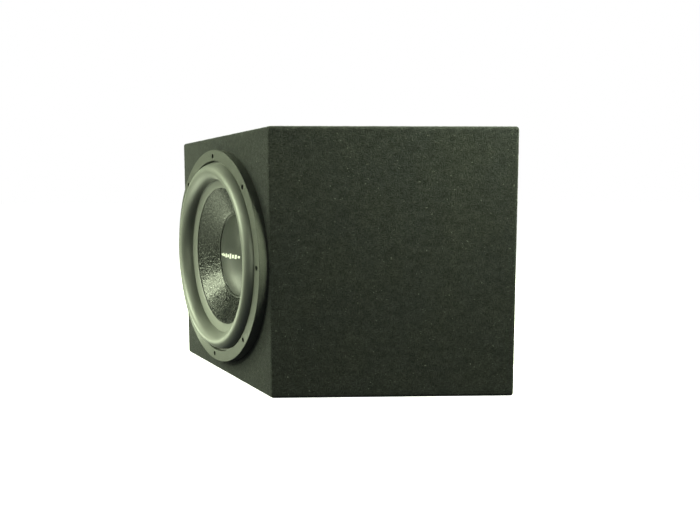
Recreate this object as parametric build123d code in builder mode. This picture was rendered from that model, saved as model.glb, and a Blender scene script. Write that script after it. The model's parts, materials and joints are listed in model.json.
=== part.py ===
from build123d import *
import os
from math import asin, cos, degrees, pi, radians, sin, sqrt, tan

os.makedirs("parts", exist_ok=True)

# Driving dimensions, in millimetres and degrees. +Z is up and the amplifier faces +Y.

# Cabinet
cabinet_height = 368.0
baffle_width = 335.0
short_side_length = 333.5
baffle_angle = 31.65
carpet = 3.0
board = 15.0
carpet_edge_radius = 4.0
brace_height = 40.0
brace_thickness = 18.0
brace_y = 79.0
wadding_thickness = 20.0
wadding_size = (110.0, 250.0)
wadding_y = 5.0
wadding_edge = 6.0

# Driver, as radii and as heights out from the baffle's carpet
cutout_radius = 134.0
gasket_thickness = 1.5
flange_thickness = 3.0
flange_radius = 160.0
lip_radius = 150.2
lip_thickness = 1.8
seat_height = 1.7
seat_radius = 141.0
ring_radius = 162.5
ring_bore = 146.0
ring_height = 13.6
ring_skirt = 2.0
ring_edge = 0.9
ring_lip_gap = 0.3
screw_count = 8
screw_circle = 153.2
screw_turn = 88.26
screw_shank = 2.0
screw_hole = 2.3
screw_head_radius = 3.4
screw_head_height = 3.5
screw_recess_radius = 3.6
screw_recess_depth = 5.0
screw_depth = 12.0
hex_flats = 3.0
hex_depth = 2.0
hex_sides = 6
roll_outer_foot = 145.0
roll_inner_foot = 118.0
roll_crest = 23.5
roll_thickness = 1.6
roll_steps = 16
cone_flange_bore = 103.0
cone_flange_height = 4.5
cone_flange_thickness = 1.5
cone_lip_outer = 116.0
cone_lip_inner = 101.3
cone_lip_thickness = 1.0
cone_slope = 0.731
cone_paper = 1.2
cap_radius = 64.0
cap_rise = 14.0
cap_paper = 0.8
former_radius = 32.1
former_thickness = 0.5
former_top = -45.0
former_bottom = -92.0
winding_radius = 33.4
winding_top = -60.5
winding_bottom = -88.5
basket_metal = 2.5
basket_wall_outer = 133.0
basket_wall_inner = 131.0
basket_wall_bottom = -6.0
basket_wall_step = 1.0
basket_step_shift = 1.75
shelf_height = -54.0
shelf_outer = 97.5
shelf_inner = 76.0
basket_seat_height = -68.0
basket_seat_outer = 70.0
basket_seat_bore = 40.0
window_count = 6
window_circle = 115.0
window_size = (22.0, 70.0)
window_corner = 5.0
spider_outer = 85.0
spider_thickness = 0.7
spider_wave_outer = 73.0
spider_wave_inner = 38.0
spider_wave_height = 2.0
spider_waves = 4
spider_wave_points = 8
spider_fit = 0.05
plate_radius = 60.0
plate_bore = 34.2
plate_thickness = 8.0
magnet_radius = 64.0
magnet_bore = 37.0
magnet_height = 30.0
pole_radius = 30.9
vent_radius = 10.0
boot_thickness = 2.5
boot_lip = 1.5
boot_opening = 20.0
lead_radius = 0.9
lead_spacing = 16.0
lead_start_out = 14.0
lead_start_drop = 1.17
lead_first_bend = (12.0, 5.0)
lead_last_bend = (8.0, 1.0)
lead_tag_depth = 2.0
terminal_radius = 90.0
terminal_size = (6.0, 26.0, 10.0)
tag_size = (1.0, 5.0, 6.0)
wire_radius = 1.5
wire_side_step = 4.5
wire_window_side = 5.3
wire_window_out = 2.0
wire_side_share = 0.7
wire_brace_share = 0.6
wire_board_run = 30.0
wire_board_gap = 0.1

# Amplifier, across and up its plate and out from the ledge that it is let into
amp_recess = 9.0
amp_recess_fit = 1.0
plate_size = (240.0, 190.0)
plate_corner = 8.0
plate_metal = 3.0
plate_edge = 0.8
amp_gasket_thickness = 2.0
amp_gasket_margin = 2.0
amp_cutout = (204.0, 154.0)
amp_cutout_corner = 6.0
amp_screw_inset = 8.0
amp_screw_shank = 1.75
amp_screw_hole = 1.85
amp_screw_depth = 8.0
amp_head_radius = 3.6
amp_head_height = 2.4
cross_slot = (4.0, 0.9, 1.2)
sink_size = (200.0, 72.0)
sink_y = 44.0
sink_base = 3.0
fin_count = 17
fin_thickness = 2.2
fin_height = 12.0
control_y = -18.0
knob_spacing = 38.0
gain_x = -84.0
switch_x = (32.0, 64.0)
light_x = 92.0
light_radius = 1.5
light_edge = 1.35
socket_y = -60.0
rca_x = (-92.0, -70.0)
high_level_x = -38.0
remote_x = -8.0
fuse_x = 24.0
power_x = 78.0
pot_body = 16.0
pot_depth = 9.0
pot_bushing_radius = 3.4
pot_bushing_height = 3.0
pot_bore_depth = 7.2
pot_nut_radius = 5.5
pot_nut_height = 2.0
shaft_radius = 3.0
shaft_fit = 0.05
shaft_depth = 6.75
knob_radius = 8.0
knob_bottom = 9.5
knob_height = 12.5
knob_groove_count = 24
knob_groove_radius = 0.6
knob_groove_height = 10.0
knob_top_edge = 0.7
pointer_size = (1.0, 6.0, 0.5)
bass_pointer_turn = 135.0
switch_body = (14.0, 8.0, 7.0)
switch_cavity_depth = 6.0
lever_size = (4.0, 3.2)
lever_travel = 4.0
lever_fit = 0.3
lever_top = 9.0
lever_edge = 0.53
rca_radius = 4.15
rca_wall = 0.6
rca_length = 9.0
rca_collar_radius = 6.0
rca_collar_height = 1.6
rca_body = (12.0, 12.0, 16.0)
rca_bore = 1.6
high_level_size = (24.0, 14.0)
high_level_cavity = (18.0, 8.0)
high_level_front = 8.0
high_level_back = -6.0
high_level_floor = -3.0
contact_count = 4
contact_spacing = 4.2
contact_size = (1.0, 1.0, 5.0)
remote_size = (15.0, 13.0)
remote_cavity = (10.0, 7.0)
remote_front = 7.0
remote_back = -11.0
remote_floor = -9.0
fuse_holder_size = (28.0, 24.0, 9.0)
fuse_count = 2
fuse_spacing = 12.0
fuse_body = (18.0, 5.0, 7.0)
fuse_blade = (5.0, 0.8, 7.0)
fuse_blade_spacing = 12.0
fuse_slot_fit = 0.15
power_cell_size = (17.6, 22.0, 16.0)
power_pitch = 18.0
wire_entry_radius = 2.6
wire_entry_length = 17.0
wire_entry_height = 7.6
terminal_recess_radius = 3.7
terminal_recess_depth = 4.0
terminal_head_radius = 3.5
terminal_head_height = 3.0
terminal_y = 3.0
terminal_shank = 1.6
terminal_fit = 0.15
board_size = (190.0, 136.0)
board_y = -6.0
board_back = -20.0
board_thickness = 1.6
standoff_radius = 3.0
standoff_positions = [(-88.0, 56.0), (88.0, 56.0), (-21.0, -68.0), (44.0, -68.0)]
capacitor_radius = 8.0
capacitor_height = 25.0
capacitor_edge = 0.8
capacitor_count = 4
capacitor_spacing = 19.0
capacitor_y = -50.0
core_radius = 22.0
core_bore = 9.0
core_height = 18.0
core_edge = 4.5
core_position = (62.0, -30.0)
transistor_count = 6
transistor_spacing = 28.0
transistor_size = (10.0, 15.0, 4.5)
transistor_y = 44.0
transistor_leg = 0.9
transistor_leg_spacing = 2.5
wire_end = (-60.0, -34.0)

# Derived positions

slant = radians(baffle_angle)
half_width = baffle_width * cos(slant) / 2
long_side_length = short_side_length + baffle_width * sin(slant)
half_depth = long_side_length / 2
middle_height = cabinet_height / 2
baffle_middle_y = half_depth - (short_side_length + long_side_length) / 2
shell = carpet + board
inside_half_width = half_width - shell
wall_height = cabinet_height - 2 * shell

driver_origin = Vector(0, baffle_middle_y, middle_height)
across = Vector(cos(slant), sin(slant), 0)
outward = Vector(sin(slant), -cos(slant), 0)
driver_plane = Plane(origin=driver_origin, x_dir=across, z_dir=outward)
profile_plane = Plane(origin=driver_origin, x_dir=across, z_dir=(0, 0, -1))
driver_axis = Axis(driver_origin, outward)

flange_top = gasket_thickness + flange_thickness
lip_bottom = flange_top + seat_height
lip_top = lip_bottom + lip_thickness
cone_lip_top = cone_flange_height - cone_flange_thickness
neck_top = cone_lip_top - cone_slope * (cone_lip_inner - former_radius)
cone_drop = cone_paper * sqrt(1 + cone_slope**2)
cap_rim_height = cone_lip_top - cone_slope * (cone_lip_inner - cap_radius)
plate_top = basket_seat_height - basket_metal
plate_bottom = plate_top - plate_thickness
magnet_bottom = plate_bottom - magnet_height
yoke_bottom = magnet_bottom - plate_thickness
terminal_top = shelf_height + terminal_size[2]
tag_top = terminal_top + tag_size[2]

amp_plane = Plane(
    origin=(0, half_depth - amp_recess, middle_height), x_dir=(-1, 0, 0), z_dir=(0, 1, 0)
)
rebate_size = (plate_size[0] + 2 * amp_recess_fit, plate_size[1] + 2 * amp_recess_fit)
amp_back = amp_gasket_thickness
amp_front = amp_back + plate_metal
sink_front = amp_front + sink_base
board_front = board_back - board_thickness
knob_x = [gain_x + knob_spacing * number for number in range(3)]
pot_positions = [(x, control_y) for x in knob_x]
lever_rest = -lever_travel / 2
lever_slot = (lever_size[0] + lever_travel + 2 * lever_fit, lever_size[1] + 2 * lever_fit)
switch_positions = [(x, control_y) for x in switch_x]
rca_positions = [(x, socket_y) for x in rca_x]
amp_screw_positions = [
    (column * (plate_size[0] / 2 - amp_screw_inset), row * (plate_size[1] / 2 - amp_screw_inset))
    for column in (-1, 0, 1)
    for row in (-1, 0, 1)
    if column or row
]
contact_positions = [
    (high_level_x + (number - (contact_count - 1) / 2) * contact_spacing, socket_y)
    for number in range(contact_count)
]
fuse_positions = [
    (fuse_x, socket_y + (number - (fuse_count - 1) / 2) * fuse_spacing) for number in range(fuse_count)
]
power_positions = [power_x + step * power_pitch for step in (-1, 0, 1)]
power_block_front = amp_front + power_cell_size[2]
wire_entry_z = amp_front + wire_entry_height
transistor_positions = [
    ((number - (transistor_count - 1) / 2) * transistor_spacing, transistor_y)
    for number in range(transistor_count)
]


def baffle_line(x, inset):
    """Where the baffle's slanted line crosses x, that far in from the carpet's face."""
    return baffle_middle_y + x * tan(slant) + inset / cos(slant)


def cabinet_corners(inset):
    """The plan's four corners, from the near baffle corner round by the far one."""
    side = half_width - inset
    back = half_depth - inset
    return [(side, baffle_line(side, inset)), (-side, baffle_line(-side, inset)), (-side, back), (side, back)]


def raise_plan(points, bottom, height):
    """Adds a prism that stands on a level plan."""
    with BuildSketch(Plane.XY.offset(bottom)) as plan:
        with BuildLine():
            Polyline(*points, close=True)
        make_face()
    extrude(plan.sketch, amount=height)


def add_carpeted_block():
    """Adds the whole cabinet with the carpet's soft edges."""
    raise_plan(cabinet_corners(0), 0, cabinet_height)
    fillet(edges(), radius=carpet_edge_radius)


def turn_profile(points):
    """Adds a solid turned about the driver's axis from its radii and heights."""
    with BuildSketch(profile_plane) as outline:
        with BuildLine():
            Polyline(*points, close=True)
        make_face()
    revolve(outline.sketch, axis=driver_axis)


def round_column(plane, positions, radius, bottom, top, mode=Mode.ADD):
    """Adds or cuts an upright cylinder at each position on a plane."""
    with BuildSketch(plane.offset(bottom)) as section:
        with Locations(*positions):
            Circle(radius)
    extrude(section.sketch, amount=top - bottom, mode=mode)


def square_column(plane, positions, size, bottom, top, mode=Mode.ADD):
    """Adds or cuts an upright rectangular block at each position on a plane."""
    with BuildSketch(plane.offset(bottom)) as section:
        with Locations(*positions):
            Rectangle(*size)
    extrude(section.sketch, amount=top - bottom, mode=mode)


def rounded_column(plane, position, size, corner, bottom, top, mode=Mode.ADD):
    """Adds or cuts an upright block with rounded corners."""
    with BuildSketch(plane.offset(bottom)) as section:
        with Locations(position):
            RectangleRounded(*size, corner)
    extrude(section.sketch, amount=top - bottom, mode=mode)


def on_screw_circle(radius, bottom, top, mode):
    """Adds or cuts a cylinder at each of the driver's screw places."""
    with BuildSketch(driver_plane.offset(bottom)) as section:
        with PolarLocations(screw_circle, screw_count, start_angle=screw_turn):
            Circle(radius)
    extrude(section.sketch, amount=top - bottom, mode=mode)


def cut_driver_hole():
    """Cuts the driver's hole and its screw holes through the baffle."""
    round_column(driver_plane, [(0, 0)], cutout_radius, -2 * shell, carpet, Mode.SUBTRACT)
    on_screw_circle(screw_hole, -screw_depth, carpet, Mode.SUBTRACT)


def cut_amp_hole():
    """Cuts the amplifier's rebate, its hole and its screw holes into the rear."""
    rounded_column(
        amp_plane, (0, 0), rebate_size, plate_corner + amp_recess_fit, 0, amp_recess, Mode.SUBTRACT
    )
    rounded_column(amp_plane, (0, 0), amp_cutout, amp_cutout_corner, -2 * shell, 0, Mode.SUBTRACT)
    round_column(amp_plane, amp_screw_positions, amp_screw_hole, -amp_screw_depth, 0, Mode.SUBTRACT)


# Boards

with BuildPart() as front_baffle:
    side = half_width - carpet
    raise_plan(
        [
            (side, baffle_line(side, carpet)),
            (-side, baffle_line(-side, carpet)),
            (-side, baffle_line(-side, shell)),
            (side, baffle_line(side, shell)),
        ],
        shell,
        wall_height,
    )
    cut_driver_hole()

with BuildPart() as short_side_panel:
    raise_plan(
        [
            (half_width - carpet, baffle_line(half_width - carpet, shell)),
            (inside_half_width, baffle_line(inside_half_width, shell)),
            (inside_half_width, half_depth - carpet),
            (half_width - carpet, half_depth - carpet),
        ],
        shell,
        wall_height,
    )

with BuildPart() as long_side_panel:
    raise_plan(
        [
            (carpet - half_width, baffle_line(carpet - half_width, shell)),
            (-inside_half_width, baffle_line(-inside_half_width, shell)),
            (-inside_half_width, half_depth - carpet),
            (carpet - half_width, half_depth - carpet),
        ],
        shell,
        wall_height,
    )

with BuildPart() as rear_panel:
    with Locations((0, half_depth - carpet - board / 2, middle_height)):
        Box(2 * inside_half_width, board, wall_height)
    cut_amp_hole()

with BuildPart() as top_panel:
    raise_plan(cabinet_corners(carpet), cabinet_height - shell, board)

with BuildPart() as bottom_panel:
    raise_plan(cabinet_corners(carpet), carpet, board)

with BuildPart() as cross_brace:
    with Locations((0, brace_y, middle_height)):
        Box(2 * inside_half_width, brace_thickness, brace_height)

with BuildPart() as acoustic_wadding:
    with Locations((wadding_thickness / 2 - inside_half_width, wadding_y, middle_height)):
        Box(wadding_thickness, *wadding_size)
    fillet(acoustic_wadding.faces().sort_by(Axis.X)[-1].edges(), radius=wadding_edge)

# Carpet: one strip over the baffle, top and rear, two side pieces and a bottom piece

with BuildPart() as carpet_strip:
    add_carpeted_block()
    with Locations((0, 0, (cabinet_height + carpet) / 2)):
        Box(
            2 * (half_width - carpet),
            long_side_length,
            cabinet_height - carpet,
            mode=Mode.INTERSECT,
        )
    with BuildSketch(Plane.XY.offset(carpet)):
        with BuildLine():
            Polyline(*cabinet_corners(carpet), close=True)
        make_face()
    extrude(amount=cabinet_height - 2 * carpet, mode=Mode.SUBTRACT)
    cut_driver_hole()
    cut_amp_hole()

with BuildPart() as carpet_short_side:
    add_carpeted_block()
    with Locations((half_width - carpet / 2, 0, (cabinet_height + carpet) / 2)):
        Box(carpet, long_side_length, cabinet_height - carpet, mode=Mode.INTERSECT)

with BuildPart() as carpet_long_side:
    add_carpeted_block()
    with Locations((carpet / 2 - half_width, 0, (cabinet_height + carpet) / 2)):
        Box(carpet, long_side_length, cabinet_height - carpet, mode=Mode.INTERSECT)

with BuildPart() as carpet_bottom:
    add_carpeted_block()
    with Locations((0, 0, carpet / 2)):
        Box(2 * half_width, long_side_length, carpet, mode=Mode.INTERSECT)

# Driver frame

with BuildPart() as driver_gasket:
    turn_profile(
        [
            (seat_radius - basket_metal, 0),
            (flange_radius, 0),
            (flange_radius, gasket_thickness),
            (seat_radius - basket_metal, gasket_thickness),
        ]
    )
    on_screw_circle(screw_hole, 0, gasket_thickness, Mode.SUBTRACT)

with BuildPart() as driver_basket:
    shelf_bottom = shelf_height - basket_metal
    turn_profile(
        [
            (flange_radius, gasket_thickness),
            (flange_radius, flange_top),
            (lip_radius, flange_top),
            (lip_radius, lip_bottom),
            (seat_radius, lip_bottom),
            (seat_radius - seat_height, flange_top),
            (basket_wall_inner, flange_top),
            (basket_wall_inner, basket_wall_bottom),
            (shelf_outer, shelf_height),
            (shelf_inner, shelf_height),
            (basket_seat_outer, basket_seat_height),
            (basket_seat_bore, basket_seat_height),
            (basket_seat_bore, plate_top),
            (basket_seat_outer + basket_step_shift, plate_top),
            (shelf_inner + basket_step_shift, shelf_bottom),
            (shelf_outer + basket_step_shift, shelf_bottom),
            (basket_wall_outer, basket_wall_bottom - basket_wall_step),
            (basket_wall_outer, gasket_thickness),
        ]
    )
    with BuildSketch(driver_plane.offset(shelf_bottom)):
        with PolarLocations(window_circle, window_count):
            RectangleRounded(*window_size, window_corner)
    extrude(amount=-shelf_bottom, mode=Mode.SUBTRACT)
    on_screw_circle(screw_hole, 0, ring_height, Mode.SUBTRACT)

with BuildPart() as trim_ring:
    turn_profile(
        [
            (ring_radius - ring_skirt, 0),
            (ring_radius, 0),
            (ring_radius, ring_height),
            (ring_bore, ring_height),
            (ring_bore, lip_top),
            (lip_radius + ring_lip_gap, lip_top),
            (lip_radius + ring_lip_gap, flange_top),
            (ring_radius - ring_skirt, flange_top),
        ]
    )
    ring_front_edges = trim_ring.edges().filter_by(
        lambda edge: driver_plane.to_local_coords(edge.center()).Z > ring_height - ring_edge / 2
    )
    fillet(ring_front_edges, radius=ring_edge)
    on_screw_circle(screw_hole, 0, ring_height, Mode.SUBTRACT)
    on_screw_circle(screw_recess_radius, ring_height - screw_recess_depth, ring_height, Mode.SUBTRACT)

with BuildPart() as driver_screws:
    head_bottom = ring_height - screw_recess_depth
    head_top = head_bottom + screw_head_height
    on_screw_circle(screw_shank, -screw_depth, head_bottom, Mode.ADD)
    on_screw_circle(screw_head_radius, head_bottom, head_top, Mode.ADD)
    with BuildSketch(driver_plane.offset(head_top)):
        with PolarLocations(screw_circle, screw_count, start_angle=screw_turn):
            RegularPolygon(hex_flats / 2, hex_sides, major_radius=False)
    extrude(amount=-hex_depth, mode=Mode.SUBTRACT)

# Soft suspension


def roll_points(outer_foot, inner_foot, outer_height, inner_height, crest):
    """Points over a tall half roll, from its outer foot to its inner foot."""
    middle = (outer_foot + inner_foot) / 2
    half_span = (outer_foot - inner_foot) / 2
    rise = crest - (outer_height + inner_height) / 2
    points = []
    for step in range(roll_steps + 1):
        angle = pi * step / roll_steps
        base = outer_height + (inner_height - outer_height) * step / roll_steps
        points.append((middle + half_span * cos(angle), base + rise * sin(angle)))
    return points


with BuildPart() as surround:
    with BuildSketch(profile_plane):
        with BuildLine():
            roll_front = Spline(
                *roll_points(
                    roll_outer_foot,
                    roll_inner_foot,
                    lip_top,
                    cone_flange_height,
                    roll_crest,
                )
            )
            Polyline(
                roll_front @ 1,
                (cone_flange_bore, cone_flange_height),
                (cone_flange_bore, cone_lip_top),
                (roll_inner_foot + roll_thickness, cone_lip_top),
            )
            roll_back = Spline(
                *roll_points(
                    roll_outer_foot - roll_thickness,
                    roll_inner_foot + roll_thickness,
                    lip_bottom,
                    cone_lip_top,
                    roll_crest - roll_thickness,
                )
            )
            Polyline(
                roll_back @ 0,
                (lip_radius, lip_bottom),
                (lip_radius, lip_top),
                roll_front @ 0,
            )
        make_face()
    revolve(axis=driver_axis)

with BuildPart() as spider:
    wave_steps = spider_waves * spider_wave_points
    wave_top = []
    for step in range(wave_steps + 1):
        share = step / wave_steps
        wave_radius = spider_wave_outer + (spider_wave_inner - spider_wave_outer) * share
        wave_rise = spider_wave_height * sin(2 * pi * spider_waves * share)
        wave_top.append((wave_radius, shelf_height + spider_thickness + wave_rise))
    wave_bottom = [(radius, height - spider_thickness) for radius, height in reversed(wave_top)]
    turn_profile(
        [(spider_outer, shelf_height + spider_thickness)]
        + wave_top
        + [
            (former_radius + spider_fit, shelf_height + spider_thickness),
            (former_radius + spider_fit, shelf_height),
        ]
        + wave_bottom
        + [(spider_outer, shelf_height)]
    )

# Moving assembly

with BuildPart() as cone:
    turn_profile(
        [
            (cone_lip_outer, cone_lip_top),
            (cone_lip_inner, cone_lip_top),
            (former_radius, neck_top),
            (former_radius, neck_top - cone_drop),
            (
                cone_lip_inner + (cone_drop - cone_lip_thickness) / cone_slope,
                cone_lip_top - cone_lip_thickness,
            ),
            (cone_lip_outer, cone_lip_top - cone_lip_thickness),
        ]
    )

with BuildPart() as dust_cap:
    dome_radius = (cap_radius**2 + cap_rise**2) / (2 * cap_rise)
    dome_centre = cap_rim_height + cap_rise - dome_radius
    inside_radius = dome_radius - cap_paper
    rim_angle = degrees(asin(cap_radius / dome_radius))
    # The rim's cut edge lies along the cone, from the outside of the dome to its inside.
    slope_length = sqrt(1 + cone_slope**2)
    rim_reach = (cap_radius + (cap_rim_height - dome_centre) * cone_slope) / slope_length
    rim_cut = rim_reach - sqrt(rim_reach**2 - dome_radius**2 + inside_radius**2)
    inner_rim = cap_radius - rim_cut / slope_length
    inner_angle = degrees(asin(inner_rim / inside_radius))
    with BuildSketch(profile_plane):
        with BuildLine():
            dome_front = CenterArc((0, dome_centre), dome_radius, 90 - rim_angle, rim_angle)
            dome_back = CenterArc((0, dome_centre), inside_radius, 90 - inner_angle, inner_angle)
            Line(dome_front @ 0, dome_back @ 0)
            Line(dome_front @ 1, dome_back @ 1)
        make_face()
    revolve(axis=driver_axis)

with BuildPart() as voice_coil_former:
    turn_profile(
        [
            (former_radius - former_thickness, former_bottom),
            (former_radius, former_bottom),
            (former_radius, former_top),
            (former_radius - former_thickness, former_top),
        ]
    )

with BuildPart() as voice_coil_winding:
    turn_profile(
        [
            (former_radius, winding_bottom),
            (winding_radius, winding_bottom),
            (winding_radius, winding_top),
            (former_radius, winding_top),
        ]
    )

# Magnet system

with BuildPart() as top_plate:
    turn_profile(
        [
            (plate_bore, plate_bottom),
            (plate_radius, plate_bottom),
            (plate_radius, plate_top),
            (plate_bore, plate_top),
        ]
    )

with BuildPart() as magnet:
    turn_profile(
        [
            (magnet_bore, magnet_bottom),
            (magnet_radius, magnet_bottom),
            (magnet_radius, plate_bottom),
            (magnet_bore, plate_bottom),
        ]
    )

with BuildPart() as pole_yoke:
    turn_profile(
        [
            (vent_radius, yoke_bottom),
            (plate_radius, yoke_bottom),
            (plate_radius, magnet_bottom),
            (pole_radius, magnet_bottom),
            (pole_radius, plate_top),
            (vent_radius, plate_top),
        ]
    )

with BuildPart() as magnet_boot:
    turn_profile(
        [
            (magnet_radius, plate_bottom - boot_lip),
            (magnet_radius + boot_thickness, plate_bottom - boot_lip),
            (magnet_radius + boot_thickness, yoke_bottom - boot_thickness),
            (boot_opening, yoke_bottom - boot_thickness),
            (boot_opening, yoke_bottom),
            (plate_radius, yoke_bottom),
            (plate_radius, magnet_bottom),
            (magnet_radius, magnet_bottom),
        ]
    )

# Driver wiring

with BuildPart() as terminal_board:
    square_column(driver_plane, [(terminal_radius, 0)], terminal_size[:2], shelf_height, terminal_top)

with BuildPart() as speaker_tags:
    tag_positions = [(terminal_radius, side * lead_spacing / 2) for side in (-1, 1)]
    square_column(driver_plane, tag_positions, tag_size[:2], terminal_top, tag_top)

with BuildPart() as tinsel_leads:
    lead_start = former_radius + lead_start_out
    lead_start_height = neck_top + cone_slope * lead_start_out - cone_drop - lead_start_drop
    lead_end = terminal_radius - tag_size[0] / 2 - lead_radius
    for side in (-1, 1):
        with BuildLine(profile_plane.offset(side * lead_spacing / 2)) as lead_path:
            Spline(
                (lead_start, lead_start_height),
                (lead_start + lead_first_bend[0], lead_start_height - lead_first_bend[1]),
                (lead_end - lead_last_bend[0], terminal_top - lead_last_bend[1]),
                (lead_end, tag_top - lead_tag_depth),
            )
        with BuildSketch(Plane(origin=lead_path.line @ 0, z_dir=lead_path.line % 0)):
            Circle(lead_radius)
        sweep(path=lead_path.line)

with BuildPart() as speaker_wires:
    wire_height = terminal_top + tag_size[2] / 2
    wire_start = terminal_radius + tag_size[0] / 2 + wire_radius / 2
    window_far = window_circle + wire_window_out
    board_point = amp_plane.from_local_coords((wire_end[0], wire_end[1], board_front - wire_board_gap))
    for side in (-1, 1):
        rise = side * wire_side_step
        with BuildLine() as wire_path:
            Spline(
                driver_plane.from_local_coords((wire_start, side * lead_spacing / 2, wire_height)),
                driver_plane.from_local_coords((window_far, side * wire_window_side, wire_height)),
                (inside_half_width * wire_side_share, 0, middle_height - brace_height / 2 + rise),
                (inside_half_width * wire_brace_share, brace_y, middle_height - brace_height + rise),
                (board_point.X, board_point.Y - wire_board_run, board_point.Z + rise),
                (board_point.X, board_point.Y, board_point.Z + rise),
            )
        with BuildSketch(Plane(origin=wire_path.line @ 0, z_dir=wire_path.line % 0)):
            Circle(wire_radius)
        sweep(path=wire_path.line)

# Amplifier plate and its fixings

with BuildPart() as amp_gasket:
    gasket_size = (plate_size[0] - 2 * amp_gasket_margin, plate_size[1] - 2 * amp_gasket_margin)
    opening_size = (amp_cutout[0] + 2 * amp_gasket_margin, amp_cutout[1] + 2 * amp_gasket_margin)
    rounded_column(amp_plane, (0, 0), gasket_size, plate_corner - amp_gasket_margin, 0, amp_back)
    rounded_column(amp_plane, (0, 0), opening_size, amp_cutout_corner, 0, amp_back, Mode.SUBTRACT)
    round_column(amp_plane, amp_screw_positions, amp_screw_hole, 0, amp_back, Mode.SUBTRACT)

with BuildPart() as amp_plate:
    rounded_column(amp_plane, (0, 0), plate_size, plate_corner, amp_back, amp_front)
    fillet(amp_plate.faces().sort_by(Axis.Y)[-1].edges(), radius=plate_edge)
    round_column(amp_plane, amp_screw_positions, amp_screw_hole, amp_back, amp_front, Mode.SUBTRACT)
    round_column(amp_plane, pot_positions, pot_bushing_radius, amp_back, amp_front, Mode.SUBTRACT)
    round_column(amp_plane, rca_positions, rca_radius, amp_back, amp_front, Mode.SUBTRACT)
    round_column(amp_plane, [(light_x, control_y)], light_radius, amp_back, amp_front, Mode.SUBTRACT)
    square_column(amp_plane, switch_positions, lever_slot, amp_back, amp_front, Mode.SUBTRACT)
    square_column(
        amp_plane, [(high_level_x, socket_y)], high_level_size, amp_back, amp_front, Mode.SUBTRACT
    )
    square_column(amp_plane, [(remote_x, socket_y)], remote_size, amp_back, amp_front, Mode.SUBTRACT)

with BuildPart() as amp_screws:
    round_column(amp_plane, amp_screw_positions, amp_screw_shank, -amp_screw_depth, amp_front)
    round_column(amp_plane, amp_screw_positions, amp_head_radius, amp_front, amp_front + amp_head_height)
    slot_bottom = amp_front + amp_head_height - cross_slot[2]
    slot_top = amp_front + amp_head_height
    square_column(amp_plane, amp_screw_positions, cross_slot[:2], slot_bottom, slot_top, Mode.SUBTRACT)
    upright_slot = (cross_slot[1], cross_slot[0])
    square_column(amp_plane, amp_screw_positions, upright_slot, slot_bottom, slot_top, Mode.SUBTRACT)

with BuildPart() as amp_heatsink:
    square_column(amp_plane, [(0, sink_y)], sink_size, amp_front, sink_front)
    fin_pitch = (sink_size[0] - fin_thickness) / (fin_count - 1)
    with BuildSketch(amp_plane.offset(sink_front)):
        with Locations((0, sink_y)):
            with GridLocations(fin_pitch, 1, fin_count, 1):
                Rectangle(fin_thickness, sink_size[1])
    extrude(amount=fin_height)

# Amplifier electronics, behind the plate

with BuildPart() as circuit_board:
    square_column(amp_plane, [(0, board_y)], board_size, board_front, board_back)

with BuildPart() as board_standoffs:
    round_column(amp_plane, standoff_positions, standoff_radius, board_back, amp_back)

with BuildPart() as capacitors:
    capacitor_positions = [
        ((number - (capacitor_count - 1) / 2) * capacitor_spacing, capacitor_y)
        for number in range(capacitor_count)
    ]
    round_column(
        amp_plane, capacitor_positions, capacitor_radius, board_front - capacitor_height, board_front
    )
    fillet(capacitors.edges().group_by(Axis.Y)[0], radius=capacitor_edge)

with BuildPart() as transformer:
    round_column(amp_plane, [core_position], core_radius, board_front - core_height, board_front)
    round_column(
        amp_plane, [core_position], core_bore, board_front - core_height, board_front, Mode.SUBTRACT
    )
    fillet(transformer.edges().group_by(Axis.Y)[0], radius=core_edge)

with BuildPart() as transistors:
    square_column(
        amp_plane, transistor_positions, transistor_size[:2], amp_back - transistor_size[2], amp_back
    )
    leg_y = transistor_y - transistor_size[1] / 2 - transistor_leg / 2
    for leg in (-1, 0, 1):
        leg_positions = [(x + leg * transistor_leg_spacing, leg_y) for x, _ in transistor_positions]
        square_column(
            amp_plane,
            leg_positions,
            (transistor_leg, transistor_leg),
            board_back,
            amp_back - transistor_size[2] / 2,
        )

# Potentiometers and knobs

with BuildPart() as potentiometers:
    square_column(amp_plane, pot_positions, (pot_body, pot_body), amp_back - pot_depth, amp_back)
    round_column(
        amp_plane, pot_positions, pot_bushing_radius, amp_back, amp_front + pot_bushing_height
    )
    round_column(
        amp_plane,
        pot_positions,
        shaft_radius + shaft_fit,
        amp_back - pot_bore_depth,
        amp_front + pot_bushing_height,
        Mode.SUBTRACT,
    )

with BuildPart() as pot_nuts:
    with BuildSketch(amp_plane.offset(amp_front)):
        with Locations(*pot_positions):
            RegularPolygon(pot_nut_radius, hex_sides)
            Circle(pot_bushing_radius, mode=Mode.SUBTRACT)
    extrude(amount=pot_nut_height)


def add_knob(x, pointer_turn):
    """Adds a ribbed knob with its shaft and a pointer groove turned anticlockwise from up."""
    knob_top = knob_bottom + knob_height
    centre = amp_plane.from_local_coords((x, control_y, 0))
    knob_plane = Plane(origin=centre, x_dir=amp_plane.x_dir, z_dir=amp_plane.z_dir)
    round_column(knob_plane, [(0, 0)], knob_radius, knob_bottom, knob_top)
    top_edge = edges().sort_by(Axis.Y)[-1]
    fillet(top_edge, radius=knob_top_edge)
    with BuildSketch(knob_plane.offset(knob_bottom)) as grooves:
        with PolarLocations(knob_radius, knob_groove_count):
            Circle(knob_groove_radius)
    extrude(grooves.sketch, amount=knob_groove_height, mode=Mode.SUBTRACT)
    with BuildSketch(knob_plane.offset(knob_top)) as pointer:
        with PolarLocations(knob_radius - pointer_size[1] / 2, 1, start_angle=90 + pointer_turn):
            Rectangle(pointer_size[1], pointer_size[0])
    extrude(pointer.sketch, amount=-pointer_size[2], mode=Mode.SUBTRACT)
    round_column(knob_plane, [(0, 0)], shaft_radius, amp_back - shaft_depth, knob_bottom)


with BuildPart() as gain_knob:
    add_knob(knob_x[0], 0)

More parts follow.
